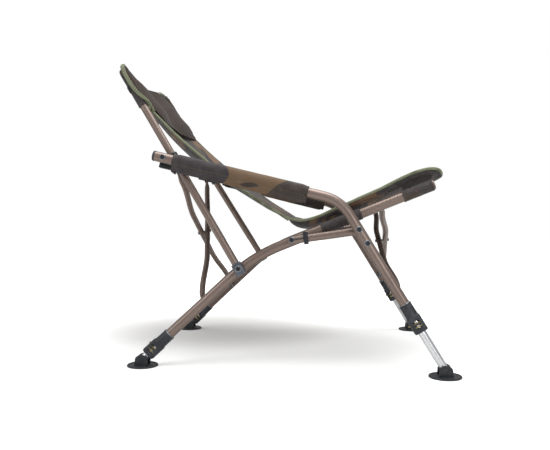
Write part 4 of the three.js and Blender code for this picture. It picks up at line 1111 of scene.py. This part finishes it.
WEBBING = webbing()
POCKET_CLOTH = camo_cloth("pocket_cloth", (0.15, 2.6, 1.2))
for word, side in SIDES.items():
    rings = turned_rings(side, back_top, back_axis, BACK_OUT, POCKET)
    pocket = skin(f"{word}_pocket", rings, POCKET_CLOTH, f"{word}_back", ring_closed=True, bend_limit=60)
    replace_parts(pocket, f"{word}_back_pocket")
    strap_rings = turned_rings(side, back_top, back_axis, BACK_OUT, STRAP)
    strap = skin(f"{word}_pocket_strap", strap_rings, WEBBING, f"{word}_back", ring_closed=True)

# Rail sleeves: two sewn tubes of the seat's cloth on each rail, one at the front end and one behind the
# front leg. A web of the same cloth joins each to the seat's edge, and a hem runs between the webs.
SLEEVE_RADIUS = 14.5
SLEEVE_INNER = 12.8
SLEEVES = ((184, 288), (398, 476))
SLEEVE_HEM = [
    (0.5, SLEEVE_INNER), (0, SLEEVE_INNER + 0.5), (0, SLEEVE_RADIUS - 0.3), (0.7, SLEEVE_RADIUS),
    (5.4, SLEEVE_RADIUS), (6.2, SLEEVE_RADIUS - 0.7), (7.0, SLEEVE_RADIUS - 0.1),
]
WEB_INWARD = 5
WEB_HALF = 1.5
WEB_ROOT = 8
WEB_TOP = 44
WEB_UNDER_SEAT = 9
WEB_SLANT = 0.38
HEM_RISE = 26
HEM_LEAST = 3
SLEEVE_BLEND = 3

rail_axis = heading(RAIL_SLOPE)
SLEEVE_CLOTH = camo_cloth("sleeve_cloth", (5.2, 1.1, 0.35), 0.61)
for word, side in SIDES.items():
    for order, (near, far) in enumerate(SLEEVES):
        start = RAIL_CORNER + near * rail_axis
        length = far - near
        waves = [(spot, SLEEVE_RADIUS - 0.15 + 0.15 * math.sin(spot / 5))
                 for spot in np.linspace(12, length - 12, 12)]
        far_hem = [(length - spot, radius) for spot, radius in SLEEVE_HEM[::-1]]
        rings = turned_rings(side, start, rail_axis, 0.0, SLEEVE_HEM + waves + far_hem)
        sleeve = skin(f"{word}_rail_sleeve_{order}", rings, SLEEVE_CLOTH, f"{word}_frame",
                      ring_closed=True, bend_limit=60)
        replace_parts(sleeve, f"{word}_rail_sleeves")

    stops = np.linspace(SLEEVES[0][0], SLEEVES[1][1], 90)
    rail_line = RAIL_CORNER + np.outer(stops, rail_axis)
    seat_x = seat.line[:, 0]
    under_seat = np.interp(rail_line[:, 0], seat_x[seat_x.argmin():], seat.line[seat_x.argmin():, 1])
    in_sleeve = np.zeros(len(stops))
    for ends in SLEEVES:
        started, ended = (rises(stops, end - SLEEVE_BLEND, end + SLEEVE_BLEND) for end in ends)
        in_sleeve = np.maximum(in_sleeve, started * (1 - ended))
    rail_z = rail_line[:, 1] * math.cos(LEAN)
    top = np.minimum(rail_z + WEB_TOP, under_seat - WEB_UNDER_SEAT)
    hem_low = np.minimum(rail_z + HEM_RISE, top - HEM_LEAST)
    low = np.where(in_sleeve > 0.5, rail_z + WEB_ROOT, hem_low)
    low = low * in_sleeve + hem_low * (1 - in_sleeve)
    middle_y = HALF_WIDTH - WEB_INWARD - rail_line[:, 1] * math.sin(LEAN)
    lift = np.array([0, 0.33, 0.66, 1, 1, 0.66, 0.33, 0])
    hand = np.array([1, 1, 1, 1, -1, -1, -1, -1])
    height = low[:, None] + (top - low)[:, None] * lift
    lean_in = (height - rail_z[:, None]) * WEB_SLANT
    web_y = side * (middle_y[:, None] - lean_in + WEB_HALF * hand)
    web = np.stack(np.broadcast_arrays(rail_line[:, :1] + FORWARD, web_y, height), -1)
    web_piece = skin(f"{word}_seat_web", web, SLEEVE_CLOTH, f"{word}_frame", bend_limit=60)
    web_width = (top - low) * math.hypot(1, WEB_SLANT) / 1000
    web_length = (stops[-1] - stops[0]) / 1000
    web_width.mean() * web_length

# Moulded and pressed fittings: nylon clips and collars, steel brace and leg brackets, and sprung brass
# coloured lock plates, each hooked, bolted or slotted to its tube. They keep their CAD shape, with
# their edges rounded as moulding and pressing leave them.


def moulding(name, dark, light, grain, depth):
    """Dark nylon: fine spark-eroded grain, slightly greyed where it has been handled."""
    finish = Finish(name, specular_ior_level=0.45)
    fine = finish.noise(grain, 2)
    scuff = finish.noise(42, 5, 0.6)
    colour = finish.mix(scuff.above(0.56, 0.14) * 0.5 + fine * 0.25, dark, light)
    height = finish.bump(fine, depth, 0.5)
    return finish.done(base_color=colour, roughness=scuff * 0.22 + 0.34, normal=height)


def plated(name, dark, light, roughness):
    """Plated or bare metal: bright, with soft streaks and a little dulling."""
    finish = Finish(name, metallic=0.92)
    streak = finish.noise(160, 3, at=finish.mapped(scale=(1, 1, 6)))
    dull = finish.noise(35, 4)
    colour = finish.mix(streak * 0.5 + dull * 0.5, dark, light)
    height = finish.bump(streak, 0.0001, 0.3)
    return finish.done(base_color=colour, roughness=dull * 0.24 + roughness, normal=height)


MOULDING = moulding("dark_moulding", paint(27, 30, 34), paint(66, 71, 78), 1300, 0.00015)
FOOT_MOULDING = moulding("foot_moulding", paint(26, 28, 31), paint(62, 66, 71), 800, 0.0003)
STEEL = plated("plated_steel", paint(120, 126, 136), paint(196, 202, 210), 0.22)
DARK_STEEL = plated("dark_steel", paint(62, 68, 76), paint(122, 129, 138), 0.26)
BRASS = plated("brass_steel", paint(150, 128, 72), paint(226, 208, 150), 0.2)
ALLOY = plated("bright_alloy", paint(196, 198, 201), paint(240, 241, 243), 0.16)


def round_edges(piece, width, segments, limit):
    """Edges sharper than a limit in degrees are rounded to a width in millimetres."""
    bevel = piece.modifiers.new("rounding", "BEVEL")
    bevel.width = width / 1000
    bevel.segments = segments
    bevel.limit_method = "ANGLE"
    bevel.angle_limit = math.radians(limit)
    return bevel


def rounded_copy(name, node, finish, body, width):
    """A merged copy of a CAD solid with its flat faces joined up and its edges rounded to a width."""
    work = bmesh.new()
    work.from_mesh(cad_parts[node].data)
    bmesh.ops.remove_doubles(work, verts=work.verts, dist=1e-5)
    bmesh.ops.dissolve_limit(work, angle_limit=math.radians(1.5), verts=work.verts, edges=work.edges)
    mesh = bpy.data.meshes.new(name)
    work.to_mesh(mesh)
    work.free()
    mesh.materials.clear()
    mesh.materials.append(finish)
    mesh.shade_smooth()
    mesh.set_sharp_from_angle(angle=math.radians(35))
    piece = linked(name, mesh)
    bevel = round_edges(piece, width, 3, 38)
    bevel.use_clamp_overlap = True
    bevel.harden_normals = True
    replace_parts(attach(piece, body), node)
    return piece


FITTINGS = {
    "fold_clip": (MOULDING, "clip", "dark_moulding", 0.6),
    "back_collar": (MOULDING, "collar", "dark_moulding", 1.0),
    "rear_brace_bracket": (DARK_STEEL, "rear_swivel", "plated_steel", 0.5),
    "front_brace_bracket": (DARK_STEEL, "front_swivel", "plated_steel", 0.5),
    "leg_bracket": (DARK_STEEL, "arm", "plated_steel", 0.5),
    "rear_lock_plates": (BRASS, "rear_lock", "brass_steel", 0.35),
    "front_lock_plates": (BRASS, "front_lock", "brass_steel", 0.35),
}
for node, (finish, body, slot, width) in FITTINGS.items():
    for word in SIDES:
        rounded_copy(f"{word}_{node}_body", f"{word}_{node}", finish, f"{word}_{body}", width)

# Bolts, saddles and plugs: turned black heads with a hexagon socket, each in a bright washer, through
# the front leg, the arm, the link and the back tube's foot. A pressed steel saddle holds that foot, and
# a moulded plug closes the rear end of the arm tube.
BOLT_HEAD = 6
BOLT_RISE = 3
BOLT_SIDES = 48
SOCKET = 2.7
ARM_PIVOT = arm_rear_end + 22 * arm_axis
LEG_BOLTS = {
    "upper_leg_bolt": ARM_CORNER + 83 * heading(FRONT_LEG_SLOPE),
    "lower_leg_bolt": ARM_CORNER + 121 * heading(FRONT_LEG_SLOPE),
    "arm_bolt": ARM_PIVOT,
}


def bolt_head(name, side, spot, out, finish, body, nodes=()):
    """A turned head on an axis square to the frame: a rounded rim, then a six-sided socket sunk in its
    face. The socket's radius at an angle is that of a hexagon."""
    angle = np.linspace(0, 2 * math.pi, BOLT_SIDES, endpoint=False)[:, None]
    hexagon = SOCKET / np.cos((angle + math.pi / 6) % (math.pi / 3) - math.pi / 6)
    profile = [
        (-0.1, BOLT_HEAD - 0.4), (0.4, BOLT_HEAD), (1.6, BOLT_HEAD), (2.5, BOLT_HEAD - 0.7),
        (BOLT_RISE, BOLT_HEAD - 1.9), (BOLT_RISE, hexagon + 0.25), (BOLT_RISE - 0.25, hexagon),
        (0.9, hexagon * 0.94),
    ]
    rings = turned(place(side, *spot, out), across(side), X_AXIS, profile, circle(BOLT_SIDES))
    piece = skin(name, rings, finish, body)
    if nodes:
        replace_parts(piece, *nodes)
    return piece


def washer(name, side, spot, out, radius, body):
    """A thin bright ring under a bolt head, with a rounded edge."""
    profile = [(0.0, radius), (0.7, radius), (1.0, radius - 0.3), (1.0, radius - 2.2), (0.0, radius - 2.4)]
    rings = turned(place(side, *spot, out), across(side), X_AXIS, profile, circle(BOLT_SIDES))
    return skin(name, rings, STEEL, body, ring_closed=True)


LEG_FACE = LEG_RADIUS + 0.3
LINK_FACE = BACK_OUT + LINK_RADIUS + 0.3
SADDLE_POWER = 5
SADDLE_HALF = (BACK_RADIUS + 2.3, BACK_RADIUS + 3.0)
SADDLE_INNER = BACK_RADIUS + 0.2
SADDLE_ENDS = [(-15.0, 0.90), (-14.6, 0.96), (-13.4, 1.0), (13.4, 1.0), (14.6, 0.96), (15.0, 0.90)]
SADDLE_FACE = BACK_OUT + SADDLE_HALF[0]
PLUG = [(0.3, 11.0), (0.0, 12.4), (-0.6, 12.9), (-3.6, 12.9), (-4.8, 12.2), (-5.6, 10.6), (-5.7, 7.0),
        (-5.2, 6.4), (-5.2, 2.0)]
for word, side in SIDES.items():
    for node, spot in LEG_BOLTS.items():
        bolt_head(f"{word}_{node}_head", side, spot, ARM_OUT + LEG_FACE, MOULDING, f"{word}_arm",
                  [f"{word}_{node}"])
        washer(f"{word}_{node}_washer", side, spot, ARM_OUT + LEG_FACE - 0.2, 7.2, f"{word}_arm")
    bolt_head(f"{word}_link_bolt_head", side, LINK_LOW, LINK_FACE, MOULDING, f"{word}_link",
              [f"{word}_link_bolt"])
    washer(f"{word}_link_bolt_washer", side, LINK_LOW, LINK_FACE - 0.2, 7.0, f"{word}_link")
    saddle_shape = box_ring(SADDLE_POWER, *SADDLE_HALF)
    saddle_shape[:, 0] = np.maximum(saddle_shape[:, 0], -SADDLE_INNER)
    saddle_rings = turned_rings(side, BACK_PIVOT, back_axis, BACK_OUT, SADDLE_ENDS, saddle_shape)
    saddle = skin(f"{word}_back_saddle", saddle_rings, DARK_STEEL, f"{word}_back")
    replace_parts(saddle, f"{word}_back_bracket")
    bolt_head(f"{word}_back_bolt_head", side, BACK_PIVOT, SADDLE_FACE + 0.3, MOULDING, f"{word}_back")
    washer(f"{word}_back_bolt_washer", side, BACK_PIVOT, SADDLE_FACE - 0.2, 8.0, f"{word}_back")
    plug_rings = turned_rings(side, arm_rear_end, arm_axis, ARM_OUT, PLUG)
    cap = skin(f"{word}_arm_plug", plug_rings, MOULDING, f"{word}_arm")
    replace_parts(cap, f"{word}_arm_end_cap")

# Leg clamps: a moulded housing with a round collar over the leg tube's end. Two slots across its faces
# show the sprung plates that bite on the inner leg. A bright rim edges the collar.
CLAMP_GRIP = 26
COLLAR_LENGTH = 34
BOX_LENGTH = 40
BOX_HALF = (15.5, 16.5)
SLOT_PLACES = (-6.2, 4.8)
SLOT_HALF = (3.9, 8.6)
SLOT_REACH = 30
BORE = 9.75
GRIP_BORE = 12.75
RIM = [(0.2, 13.2), (-0.5, 13.0), (-0.9, 13.4), (-0.9, 14.2), (-0.4, 14.5), (0.2, 14.3)]
REAR_LEG_END = RAIL_CORNER - REAR_LEG_LENGTH * heading(REAR_LEG_SLOPE)
FRONT_LEG_END = ARM_CORNER + FRONT_LEG_LENGTH * heading(FRONT_LEG_SLOPE)
LEGS = {
    "rear": {"end": REAR_LEG_END, "slope": REAR_LEG_SLOPE + math.pi, "out": 0.0, "body": "frame",
             "foot": (-360.98, 17.0), "inside": 165},
    "front": {"end": FRONT_LEG_END, "slope": FRONT_LEG_SLOPE, "out": ARM_OUT, "body": "arm",
              "foot": (366.29, 17.0), "inside": 125},
}

lens = np.linspace(-1, 1, 13)
bulge = SLOT_HALF[0] * np.sqrt(np.maximum(1 - np.abs(lens) ** 3, 0.02))
one_side = np.stack([bulge, lens * SLOT_HALF[1]], -1)
slot_loop = np.concatenate([one_side, one_side[::-1] * [-1, 1]])
grip = CLAMP_GRIP + 0.5
box_end = COLLAR_LENGTH + BOX_LENGTH
# Each row: a distance from the collar's mouth, the section's power and its half widths.
CLAMP_ROWS = [
    (grip, 2, GRIP_BORE, GRIP_BORE), (1.0, 2, GRIP_BORE, GRIP_BORE), (0.0, 2, 13.4, 13.4),
    (0.2, 2, 14.6, 14.6), (0.9, 2, 15.2, 15.2), (2.6, 2, 15.2, 15.2), (3.2, 2, 14.7, 14.7),
    (4.2, 2, 14.7, 14.7), (COLLAR_LENGTH - 6, 2, 14.9, 14.9), (COLLAR_LENGTH - 2, 2.2, 15.0, 15.1),
    (COLLAR_LENGTH - 0.6, 3.4, 15.2, 15.6), (COLLAR_LENGTH + 0.6, 4.6, *BOX_HALF),
    (COLLAR_LENGTH + 2.0, 4.8, *BOX_HALF), (COLLAR_LENGTH + 9, 4.8, *BOX_HALF),
    (box_end - 9, 4.8, *BOX_HALF), (box_end - 2.4, 4.8, *BOX_HALF), (box_end - 0.8, 4.6, 14.9, 15.9),
    (box_end, 4.2, 13.6, 14.6), (box_end, 2.6, 10.4, 10.8), (box_end - 0.6, 2, BORE, BORE),
    (COLLAR_LENGTH + 31, 2, BORE, BORE), (COLLAR_LENGTH + 30.8, 6, 12.6, 12.6),
    (COLLAR_LENGTH + 9.2, 6, 12.6, 12.6), (COLLAR_LENGTH + 9, 2, BORE, BORE), (grip + 0.6, 2, BORE, BORE),
]
shapes = np.array([box_ring(*row[1:]) for row in CLAMP_ROWS])
for kind, leg in LEGS.items():
    axis = heading(leg["slope"])
    top = leg["end"] - CLAMP_GRIP * axis
    for word, side in SIDES.items():
        centre = place(side, *(top + np.outer([row[0] for row in CLAMP_ROWS], axis)).T, leg["out"])
        tip = unit(place(side, *(top + axis), leg["out"]) - place(side, *top, leg["out"]))
        first = across(side)
        second = np.cross(tip, first)
        rings = centre[:, None] + first * shapes[..., :1] + second * shapes[..., 1:]
        body = f"{word}_{leg['body']}"
        housing = skin(f"{word}_{kind}_clamp_housing", rings, MOULDING, body, ring_closed=True)
        middle = place(side, *(top + (COLLAR_LENGTH + BOX_LENGTH / 2) * axis), leg["out"])
        tools = []
        for shift in SLOT_PLACES:
            loop = middle + tip * (slot_loop[:, :1] + shift) + second * slot_loop[:, 1:]
            ends = np.array([loop - SLOT_REACH * first, loop + SLOT_REACH * first])
            tools.append(skin("slot_cutter", ends, MOULDING, body))
        for tool in tools:
            cut = housing.modifiers.new("slot", "BOOLEAN")
            cut.operation = "DIFFERENCE"
            cut.solver = "EXACT"
            cut.object = tool
        bpy.context.view_layer.update()
        graph = bpy.context.evaluated_depsgraph_get()
        shaped = bpy.data.meshes.new_from_object(housing.evaluated_get(graph))
        shaped.set_sharp_from_angle(angle=math.radians(35))
        housing.modifiers.clear()
        housing.data = shaped
        for tool in tools:
            bpy.data.objects.remove(tool)
        round_edges(housing, 0.6, 2, 50)
        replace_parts(housing, f"{word}_{kind}_clamp")
        bright = turned_rings(side, top, axis, leg["out"], RIM, circle(48))
        rim = skin(f"{word}_{kind}_clamp_rim", bright, STEEL, body, ring_closed=True)

# Inner legs: bright drawn alloy tubes that slide in the leg tubes. The lock plates hold them there, and
# their lower ends stand between the cheeks of the feet.
for kind, leg in LEGS.items():
    axis = heading(leg["slope"])
    foot_x, foot_z = leg["foot"]
    leg["foot_place"] = np.array([foot_x, (foot_z - leg["out"] * math.sin(LEAN)) / math.cos(LEAN)])
    for word, side in SIDES.items():
        ends = np.array([leg["end"] - leg["inside"] * axis, leg["foot_place"] + 5 * axis])
        path = place(side, ends[:, 0], ends[:, 1], leg["out"])
        inner_leg = pipe(f"{word}_{kind}_sliding_leg", path, across(side), 9.5, 1.5, ALLOY,
                         f"{word}_{kind}_leg", 12, step=12)
        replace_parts(inner_leg, f"{word}_{kind}_inner_leg")

# Mud feet: a moulded disc with a raised rim, two rounded cheeks that hold the leg's end, and the pin
# that it tilts on.
CHEEK_IN = 12.0
CHEEK_OUT = 16.6
CHEEK_ARCH = 15.6
CHEEK_FOOT = 16.6
PIN_HEIGHT = 17.0
DISC_TOP = 4.4
DISC = [
    (0, 1.0), (0, 30), (0, 36.4), (0.7, 37.7), (1.8, 38.2), (3.2, 38.1), (4.2, 37.5), (4.6, 36.5),
    (4.4, 35.4), (3.4, 34.4), (3.1, 32.5), (3.3, 27), (3.9, 22), (5.0, 18.5), (5.5, 15), (5.5, 1.0),
]
PIN = [(-17.9, 2.4), (-17.6, 3.6), (-16.8, 4.0), (-16.5, 4.0), (-16.4, 3.0)]
CHEEK = [
    (CHEEK_IN, 0.965), (CHEEK_IN + 0.5, 1.0), (CHEEK_OUT - 1.6, 1.0), (CHEEK_OUT - 0.5, 0.97),
    (CHEEK_OUT, 0.90),
]
pin_rows = PIN + [(-far, radius) for far, radius in PIN[::-1]]
sweep = np.linspace(-0.1, math.pi + 0.1, 30)
arch = np.concatenate([
    [(CHEEK_FOOT, DISC_TOP - PIN_HEIGHT), (16.0, -6.0)],
    CHEEK_ARCH * np.stack([np.cos(sweep), np.sin(sweep) * 0.82], -1),
    [(-16.0, -6.0), (-CHEEK_FOOT, DISC_TOP - PIN_HEIGHT)],
])

for kind, leg in LEGS.items():
    for word, side in SIDES.items():
        pin = place(side, *leg["foot_place"], leg["out"])
        shoe = f"{word}_{kind}_shoe"
        disc_rings = turned(pin - PIN_HEIGHT * Z_AXIS, Z_AXIS, X_AXIS, DISC, circle(72))
        disc = skin(f"{word}_{kind}_foot_disc", disc_rings, FOOT_MOULDING, shoe)
        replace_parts(disc, f"{word}_{kind}_foot")
        for hand, label in ((1, "left"), (-1, "right")):
            cheek = np.array([
                pin + np.stack([arch[:, 0] * size, np.full(len(arch), hand * far),
                                np.where(arch[:, 1] > -8, arch[:, 1] * size, arch[:, 1])], -1)
                for far, size in CHEEK
            ])
            piece = skin(f"{word}_{kind}_foot_{label}_cheek", cheek, FOOT_MOULDING, shoe)
        rod = turned(pin, Y_AXIS, Z_AXIS, pin_rows, circle(24))
        skin(f"{word}_{kind}_foot_pin", rod, FOOT_MOULDING, shoe)

# Studio: a pale floor and an open white surround, a broad soft lamp above and weaker ones at the
# sides, and the photograph's camera, low and almost square to the chair's right side.
CAMERA_AT = (0.12051, -1.8367, 0.3660)
CAMERA_YAW = math.radians(4.77)
CAMERA_PITCH = math.radians(0.59)
CAMERA_ROLL = math.radians(-0.16)
CAMERA_LENS = 42.28
AMBIENT = 0.42

camera = linked("camera", bpy.data.cameras.new("camera"))
camera.data.lens = CAMERA_LENS
camera.data.sensor_width = 36
camera.data.clip_start = 0.05
turn = Matrix.Rotation(CAMERA_YAW, 4, "Z") @ Matrix.Rotation(math.pi / 2 - CAMERA_PITCH, 4, "X")
camera.matrix_world = Matrix.Translation(CAMERA_AT) @ turn @ Matrix.Rotation(-CAMERA_ROLL, 4, "Z")
bpy.context.scene.camera = camera


def floor_ground():
    """Pale paper that glows white to the camera, far off, with a soft grey shadow painted under the chair:
    its colour is darker and its glow weaker there.
    """
    finish = Finish("studio_floor", roughness=0.9, specular_ior_level=0.1, emission_strength=1.0)
    seen = finish.node("ShaderNodeLightPath", None, None, "Is Camera Ray")
    east, north = finish.coordinate("X"), finish.coordinate("Y")
    # Painted shadow: a soft grey patch behind the chair, where the floor's colour and its glow to the camera
    # are both lowered.
    painted_shadow = ((east + 0.24) * 2.2).power(2) + ((north - 0.30) * 2.4).power(2)
    painted_shadow = 1 - painted_shadow.above(0.45, 0.65)
    far_off = (east.power(2) + north.power(2)).above(1.0, 0.8)
    glow = finish.mix(far_off, paint(172, 172, 172), paint(255, 255, 255))
    glow = finish.mix(painted_shadow, glow, paint(88, 88, 88))
    colour = finish.mix(painted_shadow, paint(236, 236, 235), paint(216, 215, 213))
    return finish.done(base_color=colour, emission_color=finish.mix(seen, paint(0, 0, 0), glow))


floor_mesh = bpy.data.meshes.new("floor")
floor_mesh.from_pydata([(-9, -9, 0), (9, -9, 0), (9, 9, 0), (-9, 9, 0)], [], [(0, 1, 2, 3)])
floor_mesh.materials.append(floor_ground())
linked("floor", floor_mesh)

world = bpy.data.worlds.new("surround")
world.use_nodes = True
bpy.context.scene.world = world
tree = world.node_tree
backdrop = tree.nodes["Background"]
backdrop.inputs["Color"].default_value = (1, 1, 1, 1)
path_kind = tree.nodes.new("ShaderNodeLightPath")
strength = tree.nodes.new("ShaderNodeMapRange")
strength.inputs["To Min"].default_value = AMBIENT
strength.inputs["To Max"].default_value = 1.0
tree.links.new(path_kind.outputs["Is Camera Ray"], strength.inputs["Value"])
tree.links.new(strength.outputs["Result"], backdrop.inputs["Strength"])


def lamp(name, at, aim, size, power):
    """A square area lamp that points at a place on the chair."""
    light = linked(name, bpy.data.lights.new(name, "AREA"))
    light.data.size = size
    light.data.energy = power
    light.location = at
    light.rotation_mode = "QUATERNION"
    light.rotation_quaternion = (Vector(at) - Vector(aim)).to_track_quat("Z", "Y")


lamp("overhead", (0.2, -0.2, 2.4), (0, 0, 0.3), 1.8, 52)
lamp("front_fill", (1.4, -2.4, 1.3), (0, 0, 0.4), 1.2, 15)
lamp("rear_rim", (-1.8, -1.4, 1.5), (0, 0, 0.4), 1.0, 12)

bpy.context.scene.view_settings.view_transform = "Standard"
